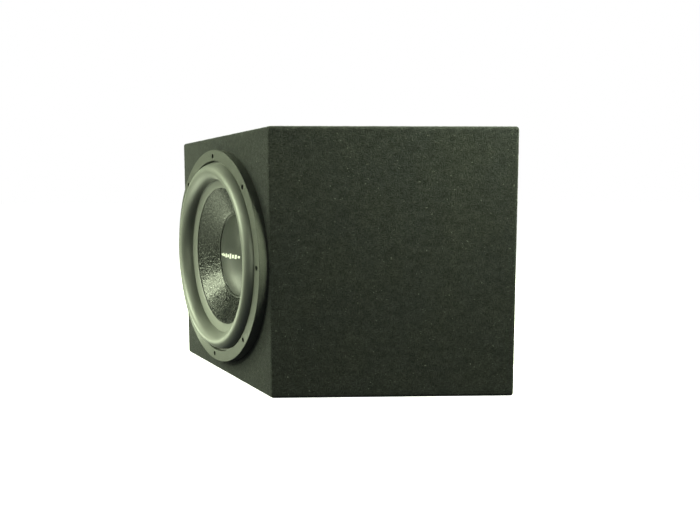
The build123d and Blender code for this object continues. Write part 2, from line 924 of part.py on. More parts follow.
with BuildPart() as crossover_knob:
    add_knob(knob_x[1], 0)

with BuildPart() as bass_knob:
    add_knob(knob_x[2], bass_pointer_turn)

# Slide switches

with BuildPart() as switch_bodies:
    square_column(amp_plane, switch_positions, switch_body[:2], amp_back - switch_body[2], amp_back)
    square_column(
        amp_plane, switch_positions, lever_slot, amp_back - switch_cavity_depth, amp_back, Mode.SUBTRACT
    )


def add_lever(x):
    """Adds a slide switch's lever, at rest at the left end of its slot."""
    lever_bottom = amp_back - switch_cavity_depth + lever_fit
    square_column(amp_plane, [(x + lever_rest, control_y)], lever_size, lever_bottom, lever_top)
    fillet(faces().sort_by(Axis.Y)[-1].edges(), radius=lever_edge)


with BuildPart() as phase_lever:
    add_lever(switch_x[0])

with BuildPart() as auto_lever:
    add_lever(switch_x[1])

# Sockets

with BuildPart() as rca_bodies:
    square_column(amp_plane, rca_positions, rca_body[:2], amp_back - rca_body[2], amp_back)

with BuildPart() as rca_shells:
    rca_tip = amp_front + rca_collar_height + rca_length
    round_column(amp_plane, rca_positions, rca_radius, amp_back, rca_tip)
    round_column(amp_plane, rca_positions, rca_collar_radius, amp_front, amp_front + rca_collar_height)
    round_column(amp_plane, rca_positions, rca_radius - rca_wall, amp_back, rca_tip, Mode.SUBTRACT)


def add_rca_insulator(x):
    """Adds the plastic core of one phono jack, with the hole for the plug's pin."""
    insulator_top = rca_tip - rca_wall
    round_column(amp_plane, [(x, socket_y)], rca_radius - rca_wall, amp_back, insulator_top)
    round_column(amp_plane, [(x, socket_y)], rca_bore, amp_front, insulator_top, Mode.SUBTRACT)


with BuildPart() as rca_insulator_left:
    add_rca_insulator(rca_x[0])

with BuildPart() as rca_insulator_right:
    add_rca_insulator(rca_x[1])

with BuildPart() as high_level_socket:
    high_level_place = [(high_level_x, socket_y)]
    square_column(amp_plane, high_level_place, high_level_size, high_level_back, high_level_front)
    square_column(
        amp_plane,
        high_level_place,
        high_level_cavity,
        high_level_floor,
        high_level_front,
        Mode.SUBTRACT,
    )

with BuildPart() as socket_pins:
    square_column(
        amp_plane,
        contact_positions,
        contact_size[:2],
        high_level_floor,
        high_level_floor + contact_size[2],
    )

with BuildPart() as remote_port:
    remote_place = [(remote_x, socket_y)]
    square_column(amp_plane, remote_place, remote_size, remote_back, remote_front)
    square_column(amp_plane, remote_place, remote_cavity, remote_floor, remote_front, Mode.SUBTRACT)

with BuildPart() as power_light:
    round_column(amp_plane, [(light_x, control_y)], light_radius, amp_back, amp_front + light_radius)
    fillet(power_light.edges().sort_by(Axis.Y)[-1], radius=light_edge)

# Fuses and power terminals

with BuildPart() as fuse_holder:
    fuse_holder_front = amp_front + fuse_holder_size[2]
    slot_size = (fuse_blade[0] + 2 * fuse_slot_fit, fuse_blade[1] + 2 * fuse_slot_fit)
    blade_positions = [
        (x + side * fuse_blade_spacing / 2, y) for x, y in fuse_positions for side in (-1, 1)
    ]
    square_column(
        amp_plane, [(fuse_x, socket_y)], fuse_holder_size[:2], amp_front, fuse_holder_front
    )
    square_column(
        amp_plane,
        blade_positions,
        slot_size,
        fuse_holder_front - fuse_blade[2],
        fuse_holder_front,
        Mode.SUBTRACT,
    )

with BuildPart() as fuses:
    square_column(
        amp_plane, fuse_positions, fuse_body[:2], fuse_holder_front, fuse_holder_front + fuse_body[2]
    )
    square_column(
        amp_plane,
        blade_positions,
        fuse_blade[:2],
        fuse_holder_front - fuse_blade[2] + fuse_slot_fit,
        fuse_holder_front,
    )

with BuildPart() as power_block:
    cell_positions = [(x, socket_y) for x in power_positions]
    square_column(amp_plane, cell_positions, power_cell_size[:2], amp_front, power_block_front)
    terminal_positions = [(x, socket_y + terminal_y) for x in power_positions]
    recess_bottom = power_block_front - terminal_recess_depth
    round_column(
        amp_plane,
        terminal_positions,
        terminal_recess_radius,
        recess_bottom,
        power_block_front,
        Mode.SUBTRACT,
    )
    round_column(
        amp_plane,
        terminal_positions,
        terminal_shank + terminal_fit,
        wire_entry_z,
        recess_bottom,
        Mode.SUBTRACT,
    )
    entry_origin = amp_plane.from_local_coords((0, socket_y - power_cell_size[1] / 2, wire_entry_z))
    entry_plane = Plane(origin=entry_origin, x_dir=amp_plane.x_dir, z_dir=(0, 0, 1))
    round_column(
        entry_plane,
        [(x, 0) for x in power_positions],
        wire_entry_radius,
        0,
        wire_entry_length,
        Mode.SUBTRACT,
    )

with BuildPart() as terminal_screws:
    head_front = recess_bottom + terminal_head_height
    round_column(
        amp_plane,
        terminal_positions,
        terminal_shank,
        wire_entry_z + wire_entry_radius + terminal_fit,
        recess_bottom,
    )
    round_column(amp_plane, terminal_positions, terminal_head_radius, recess_bottom, head_front)
    slot_bottom = head_front - cross_slot[2]
    square_column(amp_plane, terminal_positions, cross_slot[:2], slot_bottom, head_front, Mode.SUBTRACT)
    square_column(amp_plane, terminal_positions, upright_slot, slot_bottom, head_front, Mode.SUBTRACT)

# Files

pieces = {
    "front_baffle": front_baffle,
    "short_side_panel": short_side_panel,
    "long_side_panel": long_side_panel,
    "rear_panel": rear_panel,
    "top_panel": top_panel,
    "bottom_panel": bottom_panel,
    "cross_brace": cross_brace,
    "acoustic_wadding": acoustic_wadding,
    "carpet_strip": carpet_strip,
    "carpet_short_side": carpet_short_side,
    "carpet_long_side": carpet_long_side,
    "carpet_bottom": carpet_bottom,
    "driver_gasket": driver_gasket,
    "driver_basket": driver_basket,
    "trim_ring": trim_ring,
    "driver_screws": driver_screws,
    "surround": surround,
    "spider": spider,
    "cone": cone,
    "dust_cap": dust_cap,
    "voice_coil_former": voice_coil_former,
    "voice_coil_winding": voice_coil_winding,
    "top_plate": top_plate,
    "magnet": magnet,
    "pole_yoke": pole_yoke,
    "magnet_boot": magnet_boot,
    "terminal_board": terminal_board,
    "speaker_tags": speaker_tags,
    "tinsel_leads": tinsel_leads,
    "speaker_wires": speaker_wires,
    "amp_gasket": amp_gasket,
    "amp_plate": amp_plate,
    "amp_screws": amp_screws,
    "amp_heatsink": amp_heatsink,
    "circuit_board": circuit_board,
    "board_standoffs": board_standoffs,
    "capacitors": capacitors,
    "transformer": transformer,
    "transistors": transistors,
    "potentiometers": potentiometers,
    "pot_nuts": pot_nuts,
    "gain_knob": gain_knob,
    "crossover_knob": crossover_knob,
    "bass_knob": bass_knob,
    "switch_bodies": switch_bodies,
    "phase_lever": phase_lever,
    "auto_lever": auto_lever,
    "rca_bodies": rca_bodies,
    "rca_shells": rca_shells,
    "rca_insulator_left": rca_insulator_left,
    "rca_insulator_right": rca_insulator_right,
    "high_level_socket": high_level_socket,
    "socket_pins": socket_pins,
    "remote_port": remote_port,
    "power_light": power_light,
    "fuse_holder": fuse_holder,
    "fuses": fuses,
    "power_block": power_block,
    "terminal_screws": terminal_screws,
}

for name, piece in pieces.items():
    piece.part.label = name
    export_step(piece.part, f"parts/{name}.step")
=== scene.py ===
import json
import math

import bpy
import numpy as np
from mathutils import Matrix, Quaternion, Vector, noise


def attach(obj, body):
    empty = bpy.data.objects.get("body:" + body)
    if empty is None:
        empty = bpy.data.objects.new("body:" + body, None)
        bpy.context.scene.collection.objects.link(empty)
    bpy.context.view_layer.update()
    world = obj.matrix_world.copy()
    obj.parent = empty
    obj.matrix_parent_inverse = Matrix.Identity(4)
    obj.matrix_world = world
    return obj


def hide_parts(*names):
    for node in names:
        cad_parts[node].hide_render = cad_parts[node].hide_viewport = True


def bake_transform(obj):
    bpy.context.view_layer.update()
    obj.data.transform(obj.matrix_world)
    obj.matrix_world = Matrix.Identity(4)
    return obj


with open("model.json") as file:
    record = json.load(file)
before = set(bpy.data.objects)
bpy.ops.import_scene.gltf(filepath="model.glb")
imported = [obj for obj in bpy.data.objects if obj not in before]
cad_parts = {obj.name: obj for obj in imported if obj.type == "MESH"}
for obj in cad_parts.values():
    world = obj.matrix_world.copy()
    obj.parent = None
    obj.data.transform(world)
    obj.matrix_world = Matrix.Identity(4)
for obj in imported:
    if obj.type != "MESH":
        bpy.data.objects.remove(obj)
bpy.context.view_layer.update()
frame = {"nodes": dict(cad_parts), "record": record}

MM = 0.001

# The cabinet, driver and amplifier, as in the CAD part, in metres

SLANT = math.radians(31.65)
HEIGHT = 0.368
BAFFLE_WIDTH = 0.335
SHORT_SIDE = 0.3335
LONG_SIDE = SHORT_SIDE + BAFFLE_WIDTH * math.sin(SLANT)
HALF_WIDTH = BAFFLE_WIDTH * math.cos(SLANT) / 2
HALF_DEPTH = LONG_SIDE / 2
BAFFLE_Y = HALF_DEPTH - (SHORT_SIDE + LONG_SIDE) / 2
DRIVER = Vector((0, BAFFLE_Y, HEIGHT / 2))
ACROSS = Vector((math.cos(SLANT), math.sin(SLANT), 0))
UP = Vector((0, 0, 1))
OUTWARD = Vector((math.sin(SLANT), -math.cos(SLANT), 0))
CORNER_RADIUS = 4 * MM
AMP_RECESS = 9 * MM
AMP = Vector((0, HALF_DEPTH - AMP_RECESS, HEIGHT / 2))


def driver_place(radius, height):
    """A point beside the driver's axis, towards the short side, at a height out of the baffle."""
    return DRIVER + ACROSS * radius + OUTWARD * height


def amp_place(x, y, z):
    """A point across, up and out from the amplifier's centre, seen from behind the cabinet."""
    return AMP + Vector((-x, z, y))


# Materials: metres between the bands of a wave texture of scale 1, and a noise's usual values

WAVE_PERIOD = 0.314
NOISE_LOW, NOISE_HIGH = 0.3, 0.7


class Finish:
    """A Principled material whose detail comes from noise in the frame's own coordinates."""

    def __init__(self, name, roughness=0.5, metallic=0.0, **sockets):
        self.name = name
        self.material = bpy.data.materials.new(name)
        self.material.use_nodes = True
        self.tree = self.material.node_tree
        self.shader = self.tree.nodes["Principled BSDF"]
        self.shader.inputs["Roughness"].default_value = roughness
        self.shader.inputs["Metallic"].default_value = metallic
        for socket, value in sockets.items():
            self.shader.inputs[socket.replace("_", " ")].default_value = value
        self.coordinates = self.tree.nodes.new("ShaderNodeTexCoord").outputs["Object"]
        self.normal = None

    def link(self, source, target):
        self.tree.links.new(source, target)

    def stretched(self, scale, turn=(0, 0, 0)):
        """The coordinates, turned and then scaled by different amounts along each axis."""
        mapping = self.tree.nodes.new("ShaderNodeMapping")
        mapping.inputs["Scale"].default_value = scale
        mapping.inputs["Rotation"].default_value = turn
        self.link(self.coordinates, mapping.inputs["Vector"])
        return mapping.outputs["Vector"]

    def noise(self, size, detail=2.0, rough=0.5, distortion=0.0, vector=None):
        """Noise whose lumps are about size metres across."""
        node = self.tree.nodes.new("ShaderNodeTexNoise")
        node.inputs["Scale"].default_value = 1 / size
        node.inputs["Detail"].default_value = detail
        node.inputs["Roughness"].default_value = rough
        node.inputs["Distortion"].default_value = distortion
        self.link(vector or self.coordinates, node.inputs["Vector"])
        return node.outputs["Fac"]

    def cells(self, size, randomness=1.0):
        """The distance from the nearest of many points that lie about size metres apart."""
        node = self.tree.nodes.new("ShaderNodeTexVoronoi")
        node.inputs["Scale"].default_value = 1 / size
        node.inputs["Randomness"].default_value = randomness
        self.link(self.coordinates, node.inputs["Vector"])
        return node.outputs["Distance"]

    def waves(self, size, direction, distortion):
        """Parallel bands, one every size metres."""
        node = self.tree.nodes.new("ShaderNodeTexWave")
        node.bands_direction = direction
        node.inputs["Scale"].default_value = WAVE_PERIOD / size
        node.inputs["Distortion"].default_value = distortion
        self.link(self.coordinates, node.inputs["Vector"])
        return node.outputs["Fac"]

    def span(self, value, low, high, to_low=0.0, to_high=1.0):
        """Value, mapped from low..high to to_low..to_high."""
        node = self.tree.nodes.new("ShaderNodeMapRange")
        for index, number in enumerate((low, high, to_low, to_high), 1):
            node.inputs[index].default_value = number
        self.link(value, node.inputs[0])
        return node.outputs[0]

    def spread(self, value, to_low=0.0, to_high=1.0):
        """Noise, mapped from the values that it mostly has to to_low..to_high."""
        return self.span(value, NOISE_LOW, NOISE_HIGH, to_low, to_high)

    def maths(self, operation, *values):
        """One maths step on numbers or sockets."""
        node = self.tree.nodes.new("ShaderNodeMath")
        node.operation = operation
        for socket, value in zip(node.inputs, values):
            if isinstance(value, (int, float)):
                socket.default_value = value
            else:
                self.link(value, socket)
        return node.outputs[0]

    def mix(self, factor, first, second, blend="MIX"):
        """A colour between two colours, which may be tuples or sockets."""
        node = self.tree.nodes.new("ShaderNodeMix")
        node.data_type = "RGBA"
        node.blend_type = blend
        factor_socket = node.inputs["Factor"]
        colour_sockets = [socket for socket in node.inputs if socket.type == "RGBA"]
        if isinstance(factor, float):
            factor_socket.default_value = factor
        else:
            self.link(factor, factor_socket)
        for socket, value in zip(colour_sockets, (first, second)):
            if isinstance(value, tuple):
                socket.default_value = (*value, 1)
            else:
                self.link(value, socket)
        return next(socket for socket in node.outputs if socket.type == "RGBA")

    def colour(self, value):
        self.link(value, self.shader.inputs["Base Color"])

    def roughness(self, value):
        self.link(value, self.shader.inputs["Roughness"])

    def bump(self, height, depth, strength=1.0):
        """Adds relief that is depth metres deep, from a height of 0..1."""
        node = self.tree.nodes.new("ShaderNodeBump")
        node.inputs["Strength"].default_value = strength
        node.inputs["Distance"].default_value = depth
        self.link(height, node.inputs["Height"])
        if self.normal:
            self.link(self.normal, node.inputs["Normal"])
        self.normal = node.outputs["Normal"]
        self.link(self.normal, self.shader.inputs["Normal"])


def shade(colour, factor):
    """A colour made lighter or darker."""
    return tuple(min(1.0, channel * factor) for channel in colour)


def plain_finish(name, colour, roughness, grain, depth, contrast=0.2, **sockets):
    """Moulded, painted or sintered surface: blotches, fine grain, uneven gloss."""
    finish = Finish(name, roughness, **sockets)
    blotch = finish.noise(grain * 14, detail=3)
    speck = finish.noise(grain)
    both = finish.maths("MULTIPLY_ADD", blotch, 0.5, speck)
    dark, light = shade(colour, 1 - contrast), shade(colour, 1 + contrast)
    finish.colour(finish.mix(finish.span(both, 0.55, 0.95), dark, light))
    finish.roughness(finish.spread(blotch, roughness * 0.85, min(1.0, roughness * 1.15)))
    finish.bump(speck, depth)
    return finish


def metal_finish(name, colour, roughness, lines, turn=(0, 0, 0)):
    """Metal with drawn or turned lines."""
    finish = Finish(name, roughness, metallic=1.0)
    streak = finish.noise(lines, detail=3, vector=finish.stretched((0.06, 1, 1), turn))
    blotch = finish.noise(lines * 30)
    finish.colour(finish.mix(finish.spread(blotch), shade(colour, 0.88), shade(colour, 1.08)))
    finish.roughness(finish.spread(streak, roughness * 0.75, roughness * 1.3))
    finish.bump(streak, depth=0.01 * MM)
    return finish


def carpet_finish():
    """Non-woven carpet: short strands both ways, light and dark flecks, soft blotches, and painted
    shade over clumps of strands.
    """
    finish = Finish("carpet", 0.92, Sheen_Weight=0.1, Sheen_Roughness=0.55, Specular_IOR_Level=0.15)
    strand = {"size": 1.3 * MM, "detail": 2, "rough": 0.6, "distortion": 0.6}
    upright = finish.noise(**strand, vector=finish.stretched((1, 1, 0.3)))
    level = finish.noise(**strand, vector=finish.stretched((0.3, 0.3, 1)))
    choice = finish.span(finish.noise(6 * MM, detail=1), 0.44, 0.56)
    turned = finish.maths("MULTIPLY", finish.maths("SUBTRACT", upright, level), choice)
    strands = finish.maths("ADD", level, turned)
    deep, worn = (0.0075, 0.0082, 0.0082), (0.0285, 0.031, 0.0292)
    base = finish.mix(finish.span(strands, 0.36, 0.66), deep, worn)

    # Painted shade: the carpet is darker between clumps of strands and a little lighter on them.
    flattened = finish.stretched((0.6, 0.6, 1))
    clumps = finish.noise(8 * MM, detail=3, rough=0.65, vector=flattened)
    blotch = finish.noise(70 * MM, detail=3, rough=0.6)
    shadows = finish.mix(finish.span(clumps, 0.36, 0.62), (0.76, 0.76, 0.77), (1.14, 1.14, 1.13))
    tint = finish.mix(finish.span(blotch, 0.36, 0.64), (0.96, 0.965, 1.0), (1.045, 1.04, 0.99))
    shaded_and_tinted = finish.mix(1.0, finish.mix(1.0, base, shadows, "MULTIPLY"), tint, "MULTIPLY")

    where = finish.span(finish.noise(20 * MM), 0.42, 0.6)
    spots = finish.noise(2.4 * MM, detail=1, vector=finish.stretched((0.7, 0.7, 1)))
    fleck = finish.maths("MULTIPLY", finish.span(spots, 0.69, 0.78), where)
    finish.colour(finish.mix(fleck, shaded_and_tinted, (0.085, 0.09, 0.078)))
    finish.bump(strands, depth=0.8 * MM, strength=0.9)
    return finish


def cone_finish():
    """Pressed paper under a gloss coat: pebbled relief and dark pulp clots."""
    finish = Finish("cone_paper", 0.3, Coat_Weight=0.2, Coat_Roughness=0.08, Specular_IOR_Level=0.3)
    clots = finish.noise(3.6 * MM, detail=2, rough=0.6, distortion=0.5)
    patches = finish.noise(14 * MM)
    both = finish.maths("ADD", clots, finish.maths("MULTIPLY", patches, 0.35))
    pebbles = finish.cells(3 * MM)
    dark, light = (0.003, 0.0034, 0.0028), (0.0155, 0.0168, 0.0137)
    finish.colour(finish.mix(finish.span(both, 0.56, 0.8), dark, light))
    finish.roughness(finish.span(clots, 0.35, 0.65, 0.17, 0.32))
    finish.bump(clots, depth=1.3 * MM, strength=0.8)
    finish.bump(pebbles, depth=0.3 * MM, strength=0.5)
    return finish


def rubber_finish(name, dark, light, roughness, relief=0.06 * MM, **sockets):
    """Smooth moulded rubber with a faint bloom."""
    finish = Finish(name, roughness, Sheen_Weight=0.15, Sheen_Roughness=0.4, **sockets)
    bloom = finish.noise(40 * MM)
    grain = finish.noise(1.3 * MM)
    finish.colour(finish.mix(finish.span(bloom, 0.32, 0.68), dark, light))
    finish.roughness(finish.spread(bloom, roughness * 0.94, roughness * 1.06))
    finish.bump(grain, relief)
    return finish


def cloth_finish(name, colour, thread, depth):
    """A woven sheet: two crossed sets of threads."""
    finish = Finish(name, 0.9, Sheen_Weight=0.2)
    across = finish.waves(thread, "X", distortion=0.6)
    along = finish.waves(thread, "Z", distortion=0.6)
    weave = finish.maths("MULTIPLY", across, along)
    blotch = finish.noise(thread * 25, detail=3)
    tone = finish.mix(finish.spread(blotch), shade(colour, 0.8), shade(colour, 1.15))
    finish.colour(finish.mix(finish.span(weave, 0.0, 0.7), shade(colour, 0.45), tone))
    finish.bump(weave, depth)
    return finish


def wound_finish(name, colour, wire, direction):
    """Enamelled wire laid side by side."""
    finish = Finish(name, 0.32, metallic=1.0, Coat_Weight=0.6, Coat_Roughness=0.15)
    turns = finish.waves(wire, direction, distortion=0.25)
    blotch = finish.noise(wire * 20, detail=3)
    tone = finish.mix(finish.spread(blotch), shade(colour, 0.8), shade(colour, 1.15))
    finish.colour(finish.mix(finish.span(turns, 0.05, 0.5), shade(colour, 0.25), tone))
    finish.bump(turns, wire * 0.5)
    return finish


def wood_finish():
    """Raw fibreboard: pressed fibres and dust."""
    finish = Finish("board_wood", 0.86)
    fibre = finish.noise(2.2 * MM, detail=5, rough=0.72, distortion=1.2)
    blotch = finish.noise(50 * MM, detail=3)
    tone = finish.mix(finish.spread(blotch), (0.42, 0.29, 0.17), (0.56, 0.41, 0.26))
    finish.colour(finish.mix(finish.span(fibre, 0.35, 0.6), (0.3, 0.2, 0.11), tone))
    finish.bump(fibre, depth=0.2 * MM)
    return finish


def board_finish():
    """Solder mask over copper tracks, with tinned pads."""
    finish = Finish("board_green", 0.3, Coat_Weight=0.5, Coat_Roughness=0.1)
    upright = finish.span(finish.waves(3 * MM, "X", distortion=1.5), 0.78, 0.9)
    level = finish.span(finish.waves(4.2 * MM, "Z", distortion=1.5), 0.8, 0.92)
    patch = finish.span(finish.noise(20 * MM, detail=1), 0.46, 0.54)
    turned = finish.maths("MULTIPLY", finish.maths("SUBTRACT", upright, level), patch)
    tracks = finish.maths("ADD", level, turned)
    pads = finish.span(finish.cells(7.5 * MM, randomness=0.75), 0.16, 0.13)
    mask, copper, tin = (0.012, 0.09, 0.035), (0.035, 0.2, 0.08), (0.62, 0.62, 0.58)
    finish.colour(finish.mix(pads, finish.mix(tracks, mask, copper), tin))
    finish.bump(tracks, depth=0.04 * MM)
    return finish


def driver_finishes():
    """The finishes of the driver: moulded rubber, paper, steel, magnet, coil, spider and leads."""
    return [
        plain_finish(
            "ring_rubber",
            (0.077, 0.08, 0.071),
            roughness=0.45,
            grain=0.9 * MM,
            depth=0.1 * MM,
            contrast=0.18,
            Specular_IOR_Level=0.2,
        ),
        rubber_finish(
            "surround_rubber",
            (0.106, 0.11, 0.096),
            (0.124, 0.129, 0.113),
            roughness=0.46,
            Specular_IOR_Level=0.9,
        ),
        cone_finish(),
        rubber_finish(
            "cap_shell",
            (0.017, 0.019, 0.016),
            (0.025, 0.027, 0.023),
            roughness=0.34,
            relief=0.03 * MM,
            Specular_IOR_Level=0.4,
        ),
        plain_finish("black_steel", (0.008, 0.008, 0.008), 0.35, grain=0.4 * MM, depth=0.01 * MM),
        plain_finish("gasket_foam", (0.02, 0.02, 0.02), 0.9, grain=0.6 * MM, depth=0.2 * MM),
        plain_finish("basket_steel", (0.02, 0.02, 0.022), 0.55, grain=0.6 * MM, depth=0.06 * MM),
        metal_finish("magnet_steel", (0.62, 0.62, 0.6), 0.35, lines=1.2 * MM),
        plain_finish("ferrite", (0.045, 0.045, 0.05), 0.75, grain=0.5 * MM, depth=0.05 * MM),
        rubber_finish("boot_rubber", (0.016, 0.016, 0.016), (0.026, 0.026, 0.026), 0.6),
        metal_finish("coil_aluminium", (0.8, 0.8, 0.8), 0.3, lines=1 * MM),
        wound_finish("coil_copper", (0.72, 0.33, 0.16), wire=0.4 * MM, direction="Y"),
        cloth_finish("spider_cloth", (0.5, 0.36, 0.14), thread=0.7 * MM, depth=0.2 * MM),
        wound_finish("lead_copper", (0.66, 0.38, 0.22), wire=0.7 * MM, direction="DIAGONAL"),
        metal_finish("tag_brass", (0.78, 0.63, 0.3), 0.3, lines=0.6 * MM),
        plain_finish("phenolic", (0.12, 0.06, 0.03), 0.5, grain=0.5 * MM, depth=0.03 * MM),
        plain_finish("wire_sleeve", (0.42, 0.02, 0.02), 0.35, 0.8 * MM, 0.02 * MM, contrast=0.12),
    ]


def amp_finishes():
    """The finishes of the amplifier: paint, metal, board and moulded plastics."""
    return [
        plain_finish("amp_paint", (0.018, 0.018, 0.02), 0.48, 0.6 * MM, 0.09 * MM, contrast=0.25),
        metal_finish("sink_aluminium", (0.055, 0.055, 0.06), 0.38, 0.9 * MM, (0, math.pi / 2, 0)),
        board_finish(),
        metal_finish("standoff_brass", (0.75, 0.58, 0.26), 0.3, lines=0.6 * MM),
        plain_finish("capacitor_sleeve", (0.02, 0.035, 0.12), 0.3, grain=1 * MM, depth=0.02 * MM),
        wound_finish("core_winding", (0.6, 0.28, 0.1), wire=0.9 * MM, direction="DIAGONAL"),
        plain_finish("transistor_case", (0.02, 0.02, 0.02), 0.6, grain=0.4 * MM, depth=0.03 * MM),
        metal_finish("nickel", (0.68, 0.67, 0.63), 0.22, lines=0.6 * MM),
        plain_finish("black_plastic", (0.02, 0.02, 0.02), 0.45, grain=0.5 * MM, depth=0.04 * MM),
        plain_finish("knob_plastic", (0.024, 0.024, 0.025), 0.5, grain=0.5 * MM, depth=0.05 * MM),
        plain_finish("white_plastic", (0.75, 0.75, 0.7), 0.35, 0.7 * MM, 0.02 * MM, contrast=0.06),
        plain_finish("red_plastic", (0.5, 0.015, 0.015), 0.35, 0.7 * MM, 0.02 * MM, contrast=0.1),
        plain_finish(
            "light_lens", (0.03, 0.12, 0.5), 0.12, 0.8 * MM, 0.01 * MM, contrast=0.1, Coat_Weight=0.6
        ),
        plain_finish(
            "fuse_plastic", (0.75, 0.45, 0.01), 0.25, 0.8 * MM, 0.01 * MM, contrast=0.1, Coat_Weight=0.4
        ),
        plain_finish("socket_white", (0.68, 0.66, 0.58), 0.5, 0.6 * MM, 0.03 * MM, contrast=0.07),
    ]


cabinet_finishes = [
    carpet_finish(),
    wood_finish(),
    cloth_finish("wadding", (0.82, 0.82, 0.78), thread=4 * MM, depth=2 * MM),
]
FINISHES = {
    finish.name: finish for finish in cabinet_finishes + driver_finishes() + amp_finishes()
}

node_slots = {row["node"]: row["material_slot"] for row in frame["record"]["subparts"]}
for name, node in frame["nodes"].items():
    node.data.materials.clear()
    node.data.materials.append(FINISHES[node_slots[name]].material)


# Meshes


def add_piece(name, vertices, faces, slot, body, replaced=(), sharp=35):
    """A mesh piece in its slot's material that rides on one body, or on none if body is None."""
    mesh = bpy.data.meshes.new(name)
    mesh.from_pydata([tuple(v) for v in vertices], [], [tuple(f) for f in faces])
    mesh.validate()
    mesh.polygons.foreach_set("use_smooth", np.ones(len(mesh.polygons), bool))
    mesh.set_sharp_from_angle(angle=math.radians(sharp))
    mesh.materials.append(FINISHES[slot].material)
    piece = bpy.data.objects.new(name, mesh)
    bpy.context.scene.collection.objects.link(piece)
    if replaced:
        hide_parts(*replaced)
    if body:
        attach(piece, body)
    return piece


def join(parts):
    """One mesh from several."""
    points, faces = [], []
    for more_points, more_faces in parts:
        faces += [tuple(index + len(points) for index in face) for face in more_faces]
        points += more_points
    return points, faces


def ring_faces(rows, columns):
    """Four-sided faces of a closed tube: rows of points one after another, each a closed loop."""
    faces = []
    for row in range(rows):
        after = (row + 1) % rows
        for column in range(columns):
            beside = (column + 1) % columns
            faces.append(
                (
                    row * columns + column,
                    row * columns + beside,
                    after * columns + beside,
                    after * columns + column,
                )
            )
    return faces


def turned(profile, segments, relief=None):
    """Vertices and faces of a closed profile of (radius, height) turned about the driver's axis."""
    profile = np.array(profile, float)
    angles = np.linspace(0, 2 * math.pi, segments, endpoint=False)
    along = np.array(ACROSS)[None, :] * np.cos(angles)[:, None]
    along = along + np.array(UP)[None, :] * np.sin(angles)[:, None]
    out = np.array(OUTWARD)
    points = (
        np.array(DRIVER)[None, None, :]
        + along[None] * profile[:, 0][:, None, None]
        + out[None, None, :] * profile[:, 1][:, None, None]
    )
    if relief is not None:
        points = relief(points, profile, along)
    return points.reshape(-1, 3), ring_faces(len(profile), segments)


def fine_line(points, step):
    """The points of a polyline with extra ones, no further apart than step."""
    result = []
    for start, end in zip(points[:-1], points[1:]):
        count = max(1, math.ceil(math.dist(start, end) / step))
        for part in range(count):
            share = part / count
            result.append(tuple(s + (e - s) * share for s, e in zip(start, end)))
    result.append(tuple(points[-1]))
    return result


def stretch_between(piece):
    """Bakes the piece's placement into its mesh."""
    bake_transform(piece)


# Surround: a tall half roll between its outer lip and its flange on the cone

LIP_TOP, LIP_BOTTOM = 8.0 * MM, 6.2 * MM
FLANGE_TOP, FLANGE_BOTTOM = 4.5 * MM, 3.0 * MM
ROLL_THICK = 1.6 * MM
ROLL_CREST = 23.5 * MM
ROLL_FOOT = 0.143
ROLL_INNER = 0.118
LIP_OUTER = 0.1502
FLANGE_BORE = 0.1059
FLANGE_FALL = 3.6 * MM
BEVEL_WIDTH, BEVEL_DROP = 0.6 * MM, 0.5 * MM
ROLL_STEPS = 44
RING_SEGMENTS = 256


def roll(outer, inner, outer_height, inner_height, crest):
    """Half an ellipse from an outer foot over the crest to an inner foot."""
    middle, half = (outer + inner) / 2, (outer - inner) / 2
    rise = crest - (outer_height + inner_height) / 2
    points = []
    for step in range(ROLL_STEPS + 1):
        angle = math.pi * step / ROLL_STEPS
        base = outer_height + (inner_height - outer_height) * step / ROLL_STEPS
        points.append((middle + half * math.cos(angle), base + rise * math.sin(angle)))
    return points


front = roll(ROLL_FOOT, ROLL_INNER, LIP_TOP, FLANGE_TOP, ROLL_CREST)
back = roll(
    ROLL_FOOT - ROLL_THICK,
    ROLL_INNER + ROLL_THICK,
    LIP_BOTTOM,
    FLANGE_BOTTOM,
    ROLL_CREST - ROLL_THICK,
)
flange = fine_line(
    [
        (ROLL_INNER, FLANGE_TOP),
        (FLANGE_BORE + BEVEL_WIDTH, FLANGE_TOP - FLANGE_FALL),
        (FLANGE_BORE, FLANGE_TOP - FLANGE_FALL - BEVEL_DROP),
        (FLANGE_BORE, FLANGE_BOTTOM - FLANGE_FALL),
    ],
    step=3 * MM,
)
lip = [(LIP_OUTER, LIP_BOTTOM), (LIP_OUTER, LIP_TOP)]
vertices, faces = turned(front[:-1] + flange + back[::-1] + lip, RING_SEGMENTS)
surround = add_piece(
    "surround_roll", vertices, faces, "surround_rubber", None, ["surround"], sharp=50
)
stretch_between(surround)

# Spider: a corrugated cloth disc between the basket's shelf and the coil's former

SPIDER_HEIGHT = -53.3 * MM
SPIDER_THICK = 0.7 * MM
SPIDER_RIM, SPIDER_BORE = 0.085, 0.03225
WAVES_OUTER, WAVES_INNER = 0.073, 0.038
WAVE_COUNT, WAVE_HEIGHT = 4, 2 * MM
WAVE_STEPS = 64

spider_top = [(SPIDER_RIM, SPIDER_HEIGHT), (WAVES_OUTER, SPIDER_HEIGHT)]
for step in range(1, WAVE_STEPS + 1):
    share = step / WAVE_STEPS
    wave = WAVE_HEIGHT * math.sin(2 * math.pi * WAVE_COUNT * share)
    spider_top.append((WAVES_OUTER + (WAVES_INNER - WAVES_OUTER) * share, SPIDER_HEIGHT + wave))
spider_top.append((SPIDER_BORE, SPIDER_HEIGHT))
spider_bottom = [(radius, height - SPIDER_THICK) for radius, height in reversed(spider_top)]
vertices, faces = turned(spider_top + spider_bottom, segments=128)
spider = add_piece("spider_disc", vertices, faces, "spider_cloth", None, ["spider"], sharp=60)
stretch_between(spider)

# Cone: pressed paper, with the relief of its fibres in the mesh

